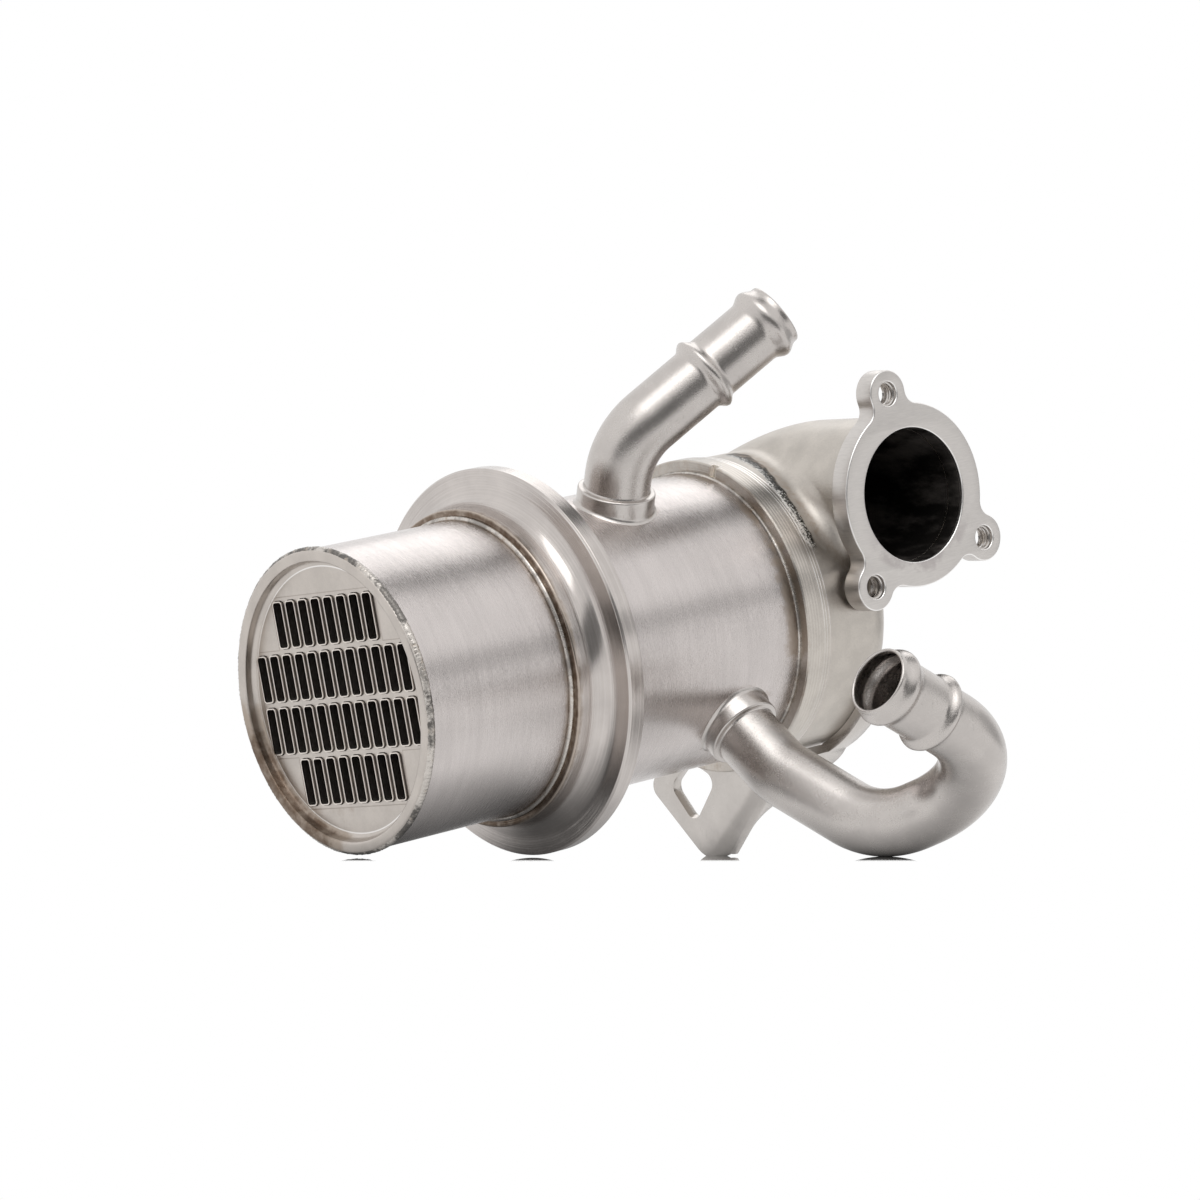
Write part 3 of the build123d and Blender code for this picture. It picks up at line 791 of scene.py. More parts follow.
def finished_mesh(bm, weld=1e-6):
    """Mesh with doubles merged and faces pointing outwards."""
    bmesh.ops.remove_doubles(bm, verts=bm.verts, dist=weld)
    bmesh.ops.recalc_face_normals(bm, faces=bm.faces)
    return mesh_of(bm)


def bmesh_of(*meshes):
    """One bmesh of several meshes."""
    bm = bmesh.new()
    for mesh in meshes:
        bm.from_mesh(mesh)
    return bm


def points_mesh(points):
    """Mesh of loose points."""
    mesh = bpy.data.meshes.new("points")
    mesh.from_pydata([tuple(point) for point in points], [], [])
    return mesh


def run_tree(name, fill, points, **inputs):
    """Plain mesh that a geometry tree makes of points. Its inputs are set by socket."""
    inputs = {label.replace("_", " "): value for label, value in inputs.items()}
    if name not in GROUPS:
        sockets = {"Geometry": None, **inputs}
        GROUPS[name] = new_group(name, lambda *sides: sealed(fill, *sides), sockets, "GeometryNodeTree")
    holder = linked("holder", points_mesh(points))
    modifier = holder.modifiers.new("tree", "NODES")
    modifier.node_group = GROUPS[name]
    for item in GROUPS[name].interface.items_tree:
        if item.name in inputs:
            modifier[item.identifier] = inputs[item.name]
    bpy.context.view_layer.update()
    evaluated = holder.evaluated_get(bpy.context.evaluated_depsgraph_get())
    mesh = bpy.data.meshes.new_from_object(evaluated)
    bpy.data.objects.remove(holder)
    return mesh


def rounded_loop(graph, width, height, corner):
    """Closed curve of a rectangle with rounded corners."""
    outline = graph.made("GeometryNodeCurvePrimitiveQuadrilateral", {"Width": width, "Height": height})
    inputs = {0: outline, "Radius": corner, "Count": 5}
    return graph.made("GeometryNodeFilletCurve", inputs, mode="POLY")


def joined(graph, *parts):
    """Several geometries as one."""
    node = graph.add("GeometryNodeJoinGeometry")
    for part in parts:
        graph.feed(node.inputs[0], part)
    return node.outputs[0]


def raised(graph, curves, amount):
    """Closed solid: the filled curves and their copy raised by an amount."""
    fill = graph.made("GeometryNodeFillCurve", {0: curves})
    up = graph.add("GeometryNodeExtrudeMesh", {"Mesh": fill, "Offset Scale": amount, "Individual": False})
    both = joined(graph, up.outputs["Mesh"], graph.made("GeometryNodeFlipFaces", {0: fill}))
    return graph.made("GeometryNodeMergeByDistance", {"Geometry": both, "Distance": 1e-6})


def circle_curve(graph, resolution, radius):
    """Closed round curve."""
    return graph.made("GeometryNodeCurvePrimitiveCircle", {"Resolution": resolution, "Radius": radius})


def on_points(graph, given, instance):
    """A copy of a geometry on each point of the tree's input."""
    return graph.made("GeometryNodeInstanceOnPoints", {"Points": given["Geometry"], "Instance": instance})


def sealed(fill, graph, given):
    """Result of a geometry tree: what it builds, made real, with its material."""
    real = graph.made("GeometryNodeRealizeInstances", {0: fill(graph, given)})
    inputs = {"Geometry": real, "Material": given["Material"]}
    return {"Geometry": graph.made("GeometryNodeSetMaterial", inputs)}


def pierced_plate(graph, given):
    """Flat disc with a rounded slot at each point of the tree's input."""
    slots = on_points(graph, given, rounded_loop(graph, given["Width"], given["Height"], given["Corner"]))
    real = graph.made("GeometryNodeRealizeInstances", {0: slots})
    rim = circle_curve(graph, PLATE_SEGMENTS, given["Radius"])
    return raised(graph, joined(graph, rim, real), given["Sheet"])


def flat_tubes(graph, given):
    """A flat tube with rounded corners on each point of the tree's input."""
    sizes = [given[label] for label in ("Width", "Height", "Corner")]
    twice = graph.times(given["Wall"], 2.0)
    grown = [graph.math("ADD", size, wall) for size, wall in zip(sizes, (twice, twice, given["Wall"]))]
    both = joined(graph, rounded_loop(graph, *grown), rounded_loop(graph, *sizes))
    return on_points(graph, given, raised(graph, both, given["Length"]))


def weld_bead(graph, given):
    """Rippled, uneven bead along a circle about the local Z axis."""
    circle = circle_curve(graph, graph.times(given["Ripples"], 4), given["Ring Radius"])
    phase = graph.times(graph.made("GeometryNodeSplineParameter"), given["Ripples"], 2 * math.pi)
    wave = graph.scaled(graph.math("SINE", phase), given["Wave"], 1.0)
    radius = graph.times(given["Bead Radius"], wave)
    sized = graph.made("GeometryNodeSetCurveRadius", {"Curve": circle, "Radius": radius})
    section = circle_curve(graph, 12, 1.0)
    inputs = {"Curve": sized, "Profile Curve": section, "Scale": graph.made("GeometryNodeInputRadius")}
    bead = graph.made("GeometryNodeCurveToMesh", inputs)
    shift = graph.made("ShaderNodeCombineXYZ", {0: given["Seed"]})
    place = graph.vector("ADD", graph.made("GeometryNodeInputPosition"), shift)
    bumps = graph.math("SUBTRACT", graph.noise(place, 560.0, 4.0, 0.65), 0.5)
    inputs = {0: graph.made("GeometryNodeInputNormal"), "Scale": graph.times(bumps, given["Unevenness"])}
    offset = graph.made("ShaderNodeVectorMath", inputs, operation="SCALE")
    return graph.made("GeometryNodeSetPosition", {"Geometry": bead, "Offset": offset})


def screw_thread(graph, given):
    """Helical ridge of a screw thread on each point of the tree's input."""
    inputs = {
        "Resolution": 40,
        "Rotations": given["Turns"],
        "Start Radius": given["Major Radius"],
        "End Radius": given["Major Radius"],
        "Height": graph.times(given["Turns"], given["Pitch"]),
    }
    helix = graph.made("GeometryNodeCurveSpiral", inputs)
    section = circle_curve(graph, 4, given["Ridge"])
    inputs = {"Curve": helix, "Profile Curve": section, "Fill Caps": True}
    return on_points(graph, given, graph.made("GeometryNodeCurveToMesh", inputs))


def tube_points(plate):
    """Places of the gas tubes in the flat layout."""
    return [
        (((count - 1) / 2 - column) * plate.column_pitch, (1.5 - row) * plate.row_pitch, 0)
        for row, count in enumerate(TUBES_IN_ROW)
        for column in range(count)
    ]


class COOLER_OT_inlet_plate(bpy.types.Operator):
    """Build the pierced inlet plate with its turned-out rim"""

    bl_idname = "cooler.inlet_plate"
    bl_label = "Inlet Plate"

    def execute(self, context):
        plate = settings().plate
        finish = plate_finish(settings().colours, plate)
        inner = PLATE_RADIUS - plate.sheet
        disc_radius = inner - plate.form_radius
        twice = 2 * (plate.tube_wall + plate.slot_gap)
        disc = run_tree(
            "pierced_plate",
            pierced_plate,
            tube_points(plate),
            Width=plate.slot_width + twice,
            Height=plate.slot_height + twice,
            Corner=plate.slot_corner + plate.tube_wall + plate.slot_gap,
            Radius=disc_radius,
            Sheet=plate.sheet,
            Material=finish,
        )
        disc.transform(bundle_matrix(plate.clocking, plate.recess))
        rim_profile = (
            (plate.recess, disc_radius, 0),
            (plate.recess, inner, plate.form_radius),
            (0, inner, plate.rim_round),
            (0, SHELL_RADIUS, plate.rim_round),
            (plate.sheet, SHELL_RADIUS, 0.2 * MM),
            (plate.sheet, PLATE_RADIUS, 0),
            (plate.recess + plate.sheet, PLATE_RADIUS, 0.5 * MM),
            (plate.recess + plate.sheet, disc_radius, 0),
        )
        profile = rounded([row[:2] for row in rim_profile], [row[2] for row in rim_profile])
        rim = finished_mesh(lathe(profile, PLATE_SEGMENTS, closed=False))
        mesh = finished_mesh(bmesh_of(disc, rim), 2e-5)
        to_object("inlet_plate", mesh, [finish], ["inlet_header_plate"])
        return {"FINISHED"}


class COOLER_OT_gas_tubes(bpy.types.Operator):
    """Build the bundle of flat gas tubes"""

    bl_idname = "cooler.gas_tubes"
    bl_label = "Gas Tubes"

    def execute(self, context):
        plate = settings().plate
        colours = settings().colours
        mouth = plate.recess - plate.stand_out
        finish = tube_finish(colours, mouth)
        inside = dark_finish("gas_tube_inside", colours, (mouth, 0, 0), (-1, 0, 0), 0.0001)
        places = tube_points(plate)
        mesh = run_tree(
            "gas_tubes",
            flat_tubes,
            places,
            Width=plate.slot_width,
            Height=plate.slot_height,
            Corner=plate.slot_corner,
            Wall=plate.tube_wall,
            Length=plate.tube_length,
            Material=finish,
        )
        for face in mesh.polygons:
            x, y, _ = face.center
            middle = min(places, key=lambda spot: math.hypot(spot[0] - x, (spot[1] - y) / 3))
            arm = face.center - Vector(middle)
            face.material_index = 1 if arm.x * face.normal.x + arm.y * face.normal.y < -1e-9 else 0
        mesh.transform(bundle_matrix(plate.clocking, mouth))
        names = sorted(name for name in frame["nodes"] if name.startswith("gas_tube"))
        to_object("gas_tubes", mesh, [finish, inside], names)
        return {"FINISHED"}


class COOLER_OT_shell(bpy.types.Operator):
    """Give the shell and the hidden rear plate their finish"""

    bl_idname = "cooler.shell"
    bl_label = "Shell"

    def execute(self, context):
        colours = settings().colours
        dress("shell", shell_finish(colours))
        dress("rear_header_plate", satin_finish("rear_plate_satin", colours.plate, 0.4, 2200.0, 0.00006))
        return {"FINISHED"}


class COOLER_OT_ring(bpy.types.Operator):
    """Build the turned ring flange with its hub"""

    bl_idname = "cooler.ring"
    bl_label = "Ring Flange"

    def execute(self, context):
        (hub_station, *_), (rear, radius, _) = RING_BOX
        bore = SHELL_RADIUS + 0.1 * MM
        hub = bore + 2.8 * MM
        face = rear - 5.3 * MM
        front_half = ((hub_station, bore), (hub_station, hub), (face, hub), (face, radius))
        corners = (*front_half, (rear, radius), (rear, bore))
        chamfer = ((0, -0.62), (0.05, -0.5), (0.5, -0.05), (0.62, 0))
        profile = []
        for point in rounded(corners, (0, 0.5 * MM, 5.5 * MM, 0, 0, 0), steps=14):
            if abs(point[1] - radius) < 1e-9:
                front = point[0] < (face + rear) / 2
                cuts = [(point[0] + (a if front else -a) * MM, radius + b * MM) for a, b in chamfer]
                profile += cuts if front else cuts[::-1]
            else:
                profile.append(tuple(point))
        mesh = finished_mesh(lathe(profile, 256))
        finish = ring_finish(settings().colours)
        to_object("ring_flange_turned", mesh, [finish], ["ring_flange"], 20.0)
        return {"FINISHED"}


class COOLER_OT_housing(bpy.types.Operator):
    """Give the rear casting its blasted finish"""

    bl_idname = "cooler.housing"
    bl_label = "Rear Housing"

    def execute(self, context):
        dress("rear_housing", casting_finish(settings().colours))
        return {"FINISHED"}


def plate_outline(disc, ear, blend, centres, steps=10):
    """Outline of a disc with round ears, joined by hollow blends, as points."""
    near, far = disc + blend, ear + blend
    centres = sorted(centres, key=lambda centre: math.atan2(centre[1], centre[0]))
    points = []

    def arc(middle, radius, start, end, count, direction):
        first, last = (math.atan2(spot[1] - middle[1], spot[0] - middle[0]) for spot in (start, end))
        while (last - first) * direction < 0:
            last += 2 * math.pi * direction
        for step in range(count + 1):
            turn = first + (last - first) * step / count
            points.append((middle[0] + radius * math.cos(turn), middle[1] + radius * math.sin(turn)))

    blends = []
    for x, y in centres:
        distance, heading = math.hypot(x, y), math.atan2(y, x)
        spread = math.acos((distance**2 + near**2 - far**2) / (2 * distance * near))
        for turn in (heading - spread, heading + spread):
            blends.append((near * math.cos(turn), near * math.sin(turn)))
    for number, centre in enumerate(centres):
        before, after = blends[2 * number], blends[2 * number + 1]
        arc(before, blend, (0, 0), centre, steps, -1)
        arc(centre, ear, before, after, 4 * steps, 1)
        arc(after, blend, centre, (0, 0), steps, -1)
        arc((0, 0), disc, after, blends[(2 * number + 2) % len(blends)], 6 * steps, 1)
    return points


def bevelled_sheet(loops, thickness, edge):
    """Flat plate from an outline and its holes, with rounded edges, lying on the local XY plane."""
    curve = bpy.data.curves.new("sheet", "CURVE")
    curve.dimensions = "2D"
    curve.fill_mode = "BOTH"
    curve.extrude = thickness / 2 - edge
    curve.bevel_depth = edge
    curve.bevel_resolution = 3
    curve.offset = -edge
    for loop in loops:
        spline = curve.splines.new("POLY")
        spline.points.add(len(loop) - 1)
        for point, (x, y) in zip(spline.points, loop):
            point.co = (x, y, 0, 1)
        spline.use_cyclic_u = True
    holder = linked("sheet", curve)
    bpy.context.view_layer.update()
    mesh = bpy.data.meshes.new_from_object(holder)
    bpy.data.objects.remove(holder)
    return mesh


def across_axis(station):
    """Turns the local Z axis to the gas axis, at a station."""
    return Matrix(((0, 0, 1, station), (1, 0, 0, 0), (0, 1, 0, 0), (0, 0, 0, 1)))


def across_duct(level):
    """Turns the local Z axis to the outlet duct's, at a level along Y."""
    return Matrix(((1, 0, 0, DUCT_END.x), (0, 0, -1, level), (0, 1, 0, DUCT_END.z), (0, 0, 0, 1)))


class COOLER_OT_outlet_plate(bpy.types.Operator):
    """Build the milled outlet plate and its screw threads"""

    bl_idname = "cooler.outlet_plate"
    bl_label = "Outlet Plate"

    def execute(self, context):
        colours = settings().colours
        thickness, edge = 0.006, 0.00045
        disc, ear_round, blend = 0.0252, 0.00649, 0.004
        bore, hole, thread_depth = 0.0183, 0.00325, 0.0054
        ears = [(screw.x - DUCT_END.x, screw.z - DUCT_END.z) for screw in SCREWS]
        outline = []
        for point in plate_outline(disc, ear_round, blend, ears):
            if not outline or math.dist(point, outline[-1]) > 2e-5:
                outline.append(point)
        holes = [circle_points((0, 0), bore, 128), *(circle_points(ear, hole, 40) for ear in ears)]
        mesh = bevelled_sheet([outline, *holes], thickness, edge)
        mesh.transform(across_duct(OUTLET.y + thickness / 2))
        mesh = finished_mesh(bmesh_of(mesh))
        to_object("outlet_plate", mesh, [milled_finish(colours)], ["outlet_flange"], 40.0)
        bright = satin_finish("thread_steel", colours.milled, 0.22, 3000.0, 0.00002)
        ridge = run_tree(
            "screw_thread",
            screw_thread,
            [(x, y, 0) for x, y in ears],
            Major_Radius=0.0033,
            Pitch=0.001,
            Turns=4.6,
            Ridge=0.00042,
            Material=bright,
        )
        ridge.transform(across_duct(OUTLET.y + thread_depth))
        to_object("screw_threads", ridge, [bright], [], 50.0)
        return {"FINISHED"}


def bead_height(distance, width, height):
    """Height of a rolled bead at a distance from its middle."""
    if abs(distance) >= width / 2:
        return 0.0
    return height * (0.5 + 0.5 * math.cos(2 * math.pi * distance / width))


def pipe_path(corners, radii, spacing):
    """Centre line of a bent pipe: points with straight runs and arcs."""
    points = [corners[0]]

    def straight(to):
        start = points[-1]
        count = max(1, round((to - start).length / spacing))
        points.extend(start.lerp(to, step / count) for step in range(1, count + 1))

    for before, here, after, radius in zip(corners, corners[1:], corners[2:], radii):
        back, _, half, centre = corner_arc(before, here, after, radius)
        begin = here + back * (radius / math.tan(half))
        straight(begin)
        axis = (begin - centre).cross(-back).normalized()
        sweep = math.pi - 2 * half
        count = max(6, round(sweep * radius / spacing))
        for step in range(1, count + 1):
            points.append(centre + Matrix.Rotation(sweep * step / count, 3, axis) @ (begin - centre))
    straight(corners[-1])
    return points


def swept_rings(points, outer_radius, wall, segments, first_side):
    """Rings round a path, out along its outside and back along its inside."""
    last = len(points) - 1
    tangents = [(points[min(n + 1, last)] - points[max(n - 1, 0)]).normalized() for n in range(last + 1)]
    side = (first_side - tangents[0] * first_side.dot(tangents[0])).normalized()
    sides = [side]
    stations = [0.0]
    for index in range(1, last + 1):
        side = tangents[index - 1].rotation_difference(tangents[index]) @ side
        side = (side - tangents[index] * side.dot(tangents[index])).normalized()
        sides.append(side)
        stations.append(stations[-1] + (points[index] - points[index - 1]).length)

    def ring(index, inset):
        radius = outer_radius(stations[-1] - stations[index]) - inset
        across = tangents[index].cross(sides[index])
        return [
            points[index] + (sides[index] * math.cos(turn) + across * math.sin(turn)) * radius
            for turn in turns(segments)
        ]

    outer = [ring(index, 0.0) for index in range(last + 1)]
    return outer, [ring(index, wall) for index in reversed(range(last + 1))]


def upper_corners():
    """Corners of the upper pipe's centre line, in metres."""
    start, up = UPPER_PORT
    clock, bend = math.radians(9.8), math.radians(52.8)
    rise, reach = SHELL_RADIUS + 17.6 * MM, 55.0 * MM
    rearwards = AXIS * math.cos(clock) + AXIS.cross(up) * math.sin(clock)
    heading = up * math.cos(bend) + rearwards * math.sin(bend)
    corner = start + up * rise
    return [start + up * PIPE_FOOT, corner, corner + heading * reach]


def lower_corners():
    """Corners of the lower pipe's centre line, in metres."""
    start, out = LOWER_PORT
    first_bend = SHELL_RADIUS + 20.3 * MM
    runs_in_mm = ((5.2, -30.4, -16.4), (20.6, -35.4, 13.6), (-47.6, -0.2, 32.2))
    corners = [start + out * PIPE_FOOT, start + out * first_bend]
    for run in runs_in_mm:
        corners.append(corners[-1] + Vector(run) * MM)
    return corners


def build_pipe(name, corners, radii, inner_setback, materials):
    """One coolant pipe with its hose beads, both walls and its rim."""
    sizes = settings().pipes
    rim_round, spacing = 0.5 * MM, 0.6 * MM
    segments, mouth_steps = 96, 6
    seam_side = Vector((0.3, 0.2, 1.0))

    def outer(from_end):
        depth = from_end + rim_round
        radius = sizes.radius + bead_height(depth - inner_setback, sizes.bead_width, sizes.bead_height)
        past = depth - sizes.end_bead_setback
        return radius + bead_height(past, sizes.end_bead_width, sizes.end_bead_height)

    heading = (corners[-1] - corners[-2]).normalized()
    points = pipe_path([*corners[:-1], corners[-1] - heading * rim_round], radii, spacing)
    outside, inside = swept_rings(points, outer, sizes.wall, segments, seam_side)
    mouth = []
    for step in range(1, mouth_steps):
        spin = math.pi * step / mouth_steps
        share = (1 - math.cos(spin)) / 2
        push = heading * rim_round * math.sin(spin)
        mouth.append([a.lerp(b, share) + push for a, b in zip(outside[-1], inside[0])])
    indices = [0] * (len(outside) + mouth_steps - 2) + [1] * (len(inside) + 1)
    mesh = finished_mesh(mesh_from_rings(outside + mouth + inside, True, indices))
    to_object(name + "_formed", mesh, materials, [name], 50.0)


class COOLER_OT_pipes(bpy.types.Operator):
    """Build the two bent coolant pipes"""

    bl_idname = "cooler.pipes"
    bl_label = "Coolant Pipes"

    def execute(self, context):
        colours = settings().colours
        finish = satin_finish("pipe_satin", colours.pipe, 0.25, 3200.0, 0.00007)
        for name, corners, radii, setback in (
            ("upper_coolant_pipe", upper_corners(), (19.0 * MM,), 25.8 * MM),
            ("lower_coolant_pipe", lower_corners(), (24.0 * MM, 23.5 * MM, 23.5 * MM), 20.4 * MM),
        ):
            heading = (corners[-1] - corners[-2]).normalized()
            inside = dark_finish(name + "_inside", colours, corners[-1], heading, 0.0045)
            build_pipe(name, corners, radii, setback, [finish, inside])
        return {"FINISHED"}


def collar_ring(port, radius, level, on_shell):
    """Ring round a port's axis at a level from the gas axis, or from the shell's round surface."""
    origin, out = port
    across = out.cross(AXIS)
    points = []
    for turn in turns(128):
        saddle = math.sqrt(SHELL_RADIUS**2 - (radius * math.sin(turn)) ** 2) if on_shell else 0.0
        points.append(
            origin + out * (saddle + level) + (AXIS * math.cos(turn) + across * math.sin(turn)) * radius
        )
    return points


class COOLER_OT_collars(bpy.types.Operator):
    """Build the collars that hold the pipes on the shell"""

    bl_idname = "cooler.collars"
    bl_label = "Pipe Collars"

    def execute(self, context):
        sizes = settings().pipes
        finish = satin_finish("collar_satin", settings().colours.pipe, 0.22, 2400.0, 0.00006)
        wide, narrow, braze = sizes.collar_radius, sizes.radius, sizes.braze
        top = SHELL_RADIUS + sizes.collar_height
        foot_rows = (
            (narrow, -1.0 * MM),
            (wide + 0.9 * MM, -0.05 * MM),
            (wide + 0.35 * MM, 0.25 * MM),
            (wide + 0.05 * MM, 0.75 * MM),
            (wide, 1.3 * MM),
        )
        top_rows = (
            (wide, top - 0.5 * MM),
            (wide - 0.1 * MM, top - 0.2 * MM),
            (wide - 0.35 * MM, top - 0.02 * MM),
            (wide - 0.6 * MM, top),
            (narrow + braze, top),
            (narrow + 0.3 * braze, top + 0.25 * braze),
            (narrow, top + 0.8 * braze),
        )
        for name, port in (("upper_collar", UPPER_PORT), ("lower_collar", LOWER_PORT)):
            rings = [collar_ring(port, *row, True) for row in foot_rows]
            rings += [collar_ring(port, *row, False) for row in top_rows]
            mesh = finished_mesh(mesh_from_rings(rings))
            to_object(name + "_brazed", mesh, [finish], [name], 40.0)
        return {"FINISHED"}


class COOLER_OT_welds(bpy.types.Operator):
    """Build the weld beads"""

    bl_idname = "cooler.welds"
    bl_label = "Weld Beads"

    def execute(self, context):
        sizes = settings().welds
        colours = settings().colours
        rough = weld_finish("weld_bead_rough", colours, 0.25, 480.0, 0.00025)
        smooth = weld_finish("weld_bead_smooth", colours, 0.55, 300.0, 0.0001)
        mouth = across_axis(1.5 * MM)
        hub = across_axis(RING_BOX[0][0] - 0.35 * MM)
        seam = across_axis(SEAM_STATION - 0.15 * MM)
        outlet_level = -0.0437
        outlet = across_duct(outlet_level)
        beads = (
            ("header_weld", "mouth_weld", SHELL_RADIUS - 0.55 * MM, sizes.mouth_bead, 1.0, mouth, rough),
            ("ring_weld", "hub_weld", SHELL_RADIUS + 0.45 * MM, sizes.hub_bead, 0.14, hub, smooth),
            ("rear_seam_weld", "seam_weld", SHELL_RADIUS + 0.1 * MM, sizes.seam_bead, 0.35, seam, smooth),
            ("outlet_flange_weld", "outlet_weld", 21.6 * MM, sizes.outlet_bead, 0.5, outlet, smooth),
        )
        for seed, (node, name, ring, bead, share, place, finish) in enumerate(beads, 3):
            mesh = run_tree(
                "weld_bead",
                weld_bead,
                [],
                Ring_Radius=ring,
                Bead_Radius=bead,
                Ripples=round(2 * math.pi * ring / sizes.ripple),
                Wave=0.03 * share,
                Unevenness=sizes.unevenness * share,
                Seed=float(seed),
                Material=finish,
            )
            mesh.transform(place)
            to_object(name, mesh, [finish], [node], 60.0)
        return {"FINISHED"}


class COOLER_OT_bracket(bpy.types.Operator):
    """Build the pressed bracket with softened edges"""

    bl_idname = "cooler.bracket"
    bl_label = "Support Bracket"

    def execute(self, context):
        finish = satin_finish("bracket_satin", settings().colours.bracket, 0.24, 2600.0, 0.00005)
        bm = bmesh_of(frame["nodes"]["support_bracket"].data)
        bmesh.ops.remove_doubles(bm, verts=bm.verts, dist=1e-6)
        bmesh.ops.dissolve_limit(bm, angle_limit=math.radians(1.0), verts=bm.verts, edges=bm.edges)
        sharp = math.radians(38)
        bmesh.ops.bevel(
            bm,
            geom=[edge for edge in bm.edges if len(edge.link_faces) == 2 and edge.calc_face_angle() > sharp],
            offset=0.3 * MM,
            offset_type="OFFSET",
            segments=2,
            profile=0.5,
            affect="EDGES",
            clamp_overlap=True,
        )
        to_object("bracket_pressed", mesh_of(bm), [finish], ["support_bracket"], 30.0)
        return {"FINISHED"}


CAMERA_PLACE = Vector((-0.7635, -1.0396, 0.1545))
CAMERA_RIGHT = Vector((0.7555, -0.6418, -0.1318))
CAMERA_FORWARD = Vector((0.6330, 0.7669, -0.1061))
FLOOR_NORMAL = Vector((0.2013, 0.0360, 0.9789))
FLOOR_LEVEL = -0.03994
FLOOR_TILT = 0.00235
FLOOR_MIDDLE = (0.09, -0.03, -0.05)
STAGE_MIDDLE = Vector((0.09, -0.02, 0))


def stage_mesh(name, corners, material):
    """Flat stage piece."""
    mesh = bpy.data.meshes.new(name)
    mesh.from_pydata([tuple(corner) for corner in corners], [], [tuple(range(len(corners)))])
    mesh.materials.append(material)
    piece = linked(name, mesh)
    return piece


def card(name, direction, distance, width, height, strength, upright=Vector((0, 0, 1))):
    """Glowing card that only reflections see, facing the cooler."""
    material = bpy.data.materials.new(name)
    graph = cleared(material)
    glow = graph.made("ShaderNodeEmission", {"Color": WHITE, "Strength": strength})
    graph.add("ShaderNodeOutputMaterial", {0: glow})
    away = Vector(direction).normalized()
    middle = STAGE_MIDDLE + away * distance
    side = away.cross(upright).normalized() * (width / 2)
    up = side.cross(away).normalized() * (height / 2)
    corners = [middle - side - up, middle + side - up, middle + side + up, middle - side + up]
    piece = stage_mesh(name, corners, material)
    for rays in ("camera", "diffuse", "shadow", "transmission"):
        setattr(piece, "visible_" + rays, False)


def lamp(name, direction, distance, width, height, power):
    """Soft rectangular lamp that faces the cooler."""
    data = bpy.data.lights.new(name, "AREA")
    data.shape = "RECTANGLE"
    data.size = width
    data.size_y = height
    data.energy = power
    light = linked(name, data)
    away = Vector(direction).normalized()
    light.location = STAGE_MIDDLE + away * distance
    light.rotation_euler = away.to_track_quat("Z", "Y").to_euler()
    light.visible_camera = False


def floor_material(stage, ahead):
    """Pale matt floor that mirrors at a grazing look. Reflections see it darker under the cooler."""
    material = bpy.data.materials.new("studio_floor")
    graph = cleared(material)
    matt = graph.made("ShaderNodeBsdfDiffuse", {"Color": rgba(stage.floor_colour)})
    mirror = graph.made("ShaderNodeBsdfGlossy", {"Color": WHITE, "Roughness": 0.0})
    grazing = graph.span(graph.add("ShaderNodeLayerWeight").outputs["Facing"], 0.93, 0.985)
    # Reflections see the floor as a white glow dimmed by ambient occlusion: painted shade under the cooler.
    near = graph.add("ShaderNodeAmbientOcclusion", {"Distance": stage.shade_reach}).outputs["AO"]
    glow = graph.made("ShaderNodeEmission", {"Strength": near})
    reflected = graph.times(graph.add("ShaderNodeLightPath").outputs["Is Glossy Ray"], 0.95)
    lit = graph.mixed(reflected, graph.mixed(grazing, matt, mirror), glow)
    place = graph.add("ShaderNodeTexCoord").outputs["Object"]
    edge_fade = graph.span(graph.vector("DISTANCE", place, FLOOR_MIDDLE), 0.30, 0.75)
    to_camera = graph.vector("DOT_PRODUCT", graph.vector("SUBTRACT", place, STAGE_MIDDLE), -ahead)
    front_fade = graph.span(to_camera, 0.27, 0.40)
    below = graph.add("ShaderNodeNewGeometry").outputs["Backfacing"]
    unseen = graph.largest(edge_fade, front_fade, below)
    faded = graph.mixed(unseen, lit, graph.made("ShaderNodeBsdfTransparent"))
    graph.add("ShaderNodeOutputMaterial", {0: faded})
    return material


def build_floor(stage):
    """Floor under the cooler's feet, tilted so that the camera just looks over it."""
    level = FLOOR_NORMAL.normalized()
    ahead = (CAMERA_FORWARD - level * CAMERA_FORWARD.dot(level)).normalized()
    normal = (level - ahead * FLOOR_TILT).normalized()
    ahead = (CAMERA_FORWARD - normal * CAMERA_FORWARD.dot(normal)).normalized()
    side = ahead.cross(normal)
    middle = STAGE_MIDDLE - level * (STAGE_MIDDLE.dot(level) - FLOOR_LEVEL)
    front, back, width = -0.40, 0.9, 0.9
    spots = ((front, -width), (front, width), (back, width), (back, -width))
    stage_mesh("floor", [middle + ahead * a + side * b for a, b in spots], floor_material(stage, ahead))


def build_world(stage):
    """White surroundings for the eye and for reflections, softer fill for matt surfaces."""
    world = bpy.data.worlds.new("studio")
    bpy.context.scene.world = world
    graph = cleared(world)
    rays = graph.add("ShaderNodeLightPath").outputs
    seen = graph.largest(rays["Is Camera Ray"], rays["Is Glossy Ray"], rays["Is Transmission Ray"])
    fill = graph.made("ShaderNodeBackground", {"Color": WHITE, "Strength": stage.fill})
    white = graph.made("ShaderNodeBackground", {"Color": WHITE, "Strength": 1.0})
    graph.add("ShaderNodeOutputWorld", {0: graph.mixed(seen, fill, white)})


def build_camera():
    """Camera at the photograph's place and angle."""
    data = bpy.data.cameras.new("camera")
    data.lens = 150
    data.sensor_width = 36
    data.clip_start = 0.05
    data.clip_end = 50
    camera = linked("camera", data)
    forward = CAMERA_FORWARD.normalized()
    right = (CAMERA_RIGHT - forward * CAMERA_RIGHT.dot(forward)).normalized()
    turn = Matrix((right, right.cross(forward), -forward)).transposed().to_4x4()
    camera.matrix_world = Matrix.Translation(CAMERA_PLACE) @ turn
    bpy.context.scene.camera = camera


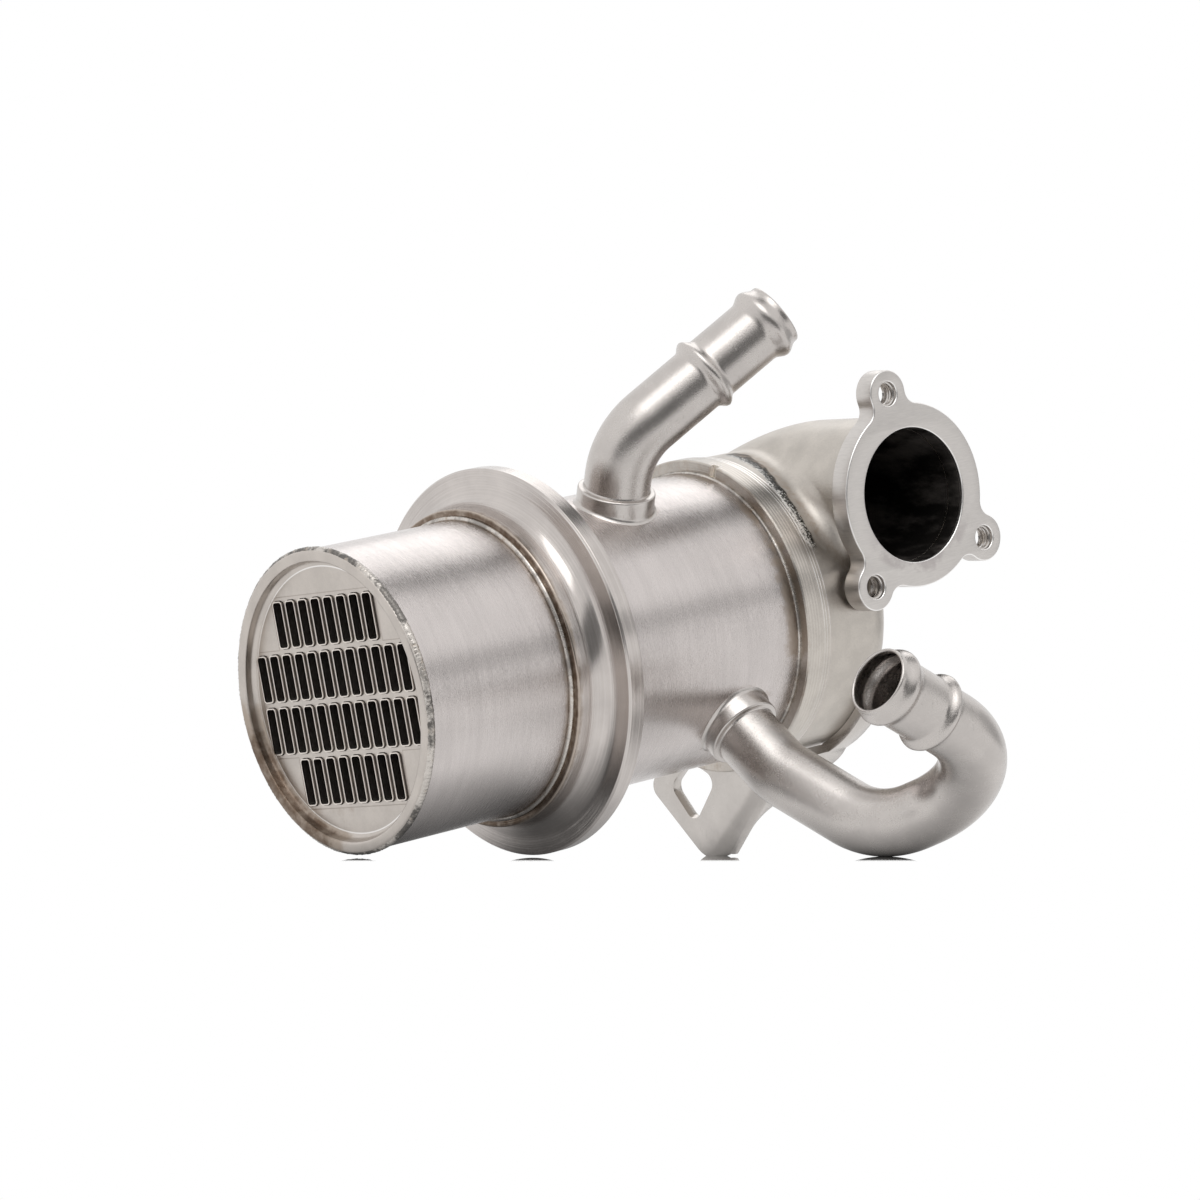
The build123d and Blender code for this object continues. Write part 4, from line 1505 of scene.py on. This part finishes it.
class COOLER_OT_stage(bpy.types.Operator):
    """Build the camera, the floor, the surroundings and the lights"""

    bl_idname = "cooler.stage"
    bl_label = "Stage"

    def execute(self, context):
        stage = settings().stage
        context.scene.view_settings.view_transform = "Standard"
        build_camera()
        build_world(stage)
        build_floor(stage)
        card("front_card", (-0.45, -0.88, 0.10), 1.5, 3.6, 1.15, stage.front_grey)
        card("side_card", (0.61, -0.75, 0.20), 1.5, 0.5, 0.30, stage.side_grey + 0.3)
        card("top_card", (0.63, 0.0, 0.77), 1.5, 0.40, 0.9, stage.side_grey, AXIS)
        card("right_card", (0.96, -0.26, -0.05), 1.5, 0.9, 0.9, 0.5)
        lamp("front_softbox", (-0.20, -0.42, 0.88), 1.3, 1.0, 0.75, 3.8)
        lamp("rear_softbox", (0.60, 0.45, 0.60), 1.4, 0.8, 0.6, 1.3)
        return {"FINISHED"}


BUILDERS = (
    COOLER_OT_stage, COOLER_OT_inlet_plate, COOLER_OT_gas_tubes, COOLER_OT_shell, COOLER_OT_ring,
    COOLER_OT_housing, COOLER_OT_outlet_plate, COOLER_OT_pipes, COOLER_OT_collars, COOLER_OT_welds,
    COOLER_OT_bracket,
)


class COOLER_PT_panel(bpy.types.Panel):
    """Lists the cooler's pieces and settings"""

    bl_idname = "COOLER_PT_panel"
    bl_label = "Gas Cooler"
    bl_space_type = "VIEW_3D"
    bl_region_type = "UI"
    bl_category = "Gas Cooler"

    def draw(self, context):
        for builder in BUILDERS:
            self.layout.operator(builder.bl_idname)
        for name in CoolerSettings.__annotations__:
            box = self.layout.box()
            box.label(text=name.capitalize())
            group = getattr(context.scene.gas_cooler, name)
            for key in group.__annotations__:
                box.prop(group, key)


CLASSES = (
    PlateSizes, PipeSizes, WeldSizes, FinishColours, StageSettings, CoolerSettings, *BUILDERS,
    COOLER_PT_panel,
)


def register():
    """Register the add-on's classes and its settings."""
    for entry in CLASSES:
        bpy.utils.register_class(entry)
    bpy.types.Scene.gas_cooler = bpy.props.PointerProperty(type=CoolerSettings)


def unregister():
    """Take the add-on's classes and settings out again."""
    del bpy.types.Scene.gas_cooler
    for entry in reversed(CLASSES):
        bpy.utils.unregister_class(entry)


def main():
    """Build everything in order."""
    register()
    for builder in BUILDERS:
        getattr(bpy.ops.cooler, builder.bl_idname.split(".")[1])()
    bpy.context.view_layer.update()


if __name__ == "__main__":
    main()
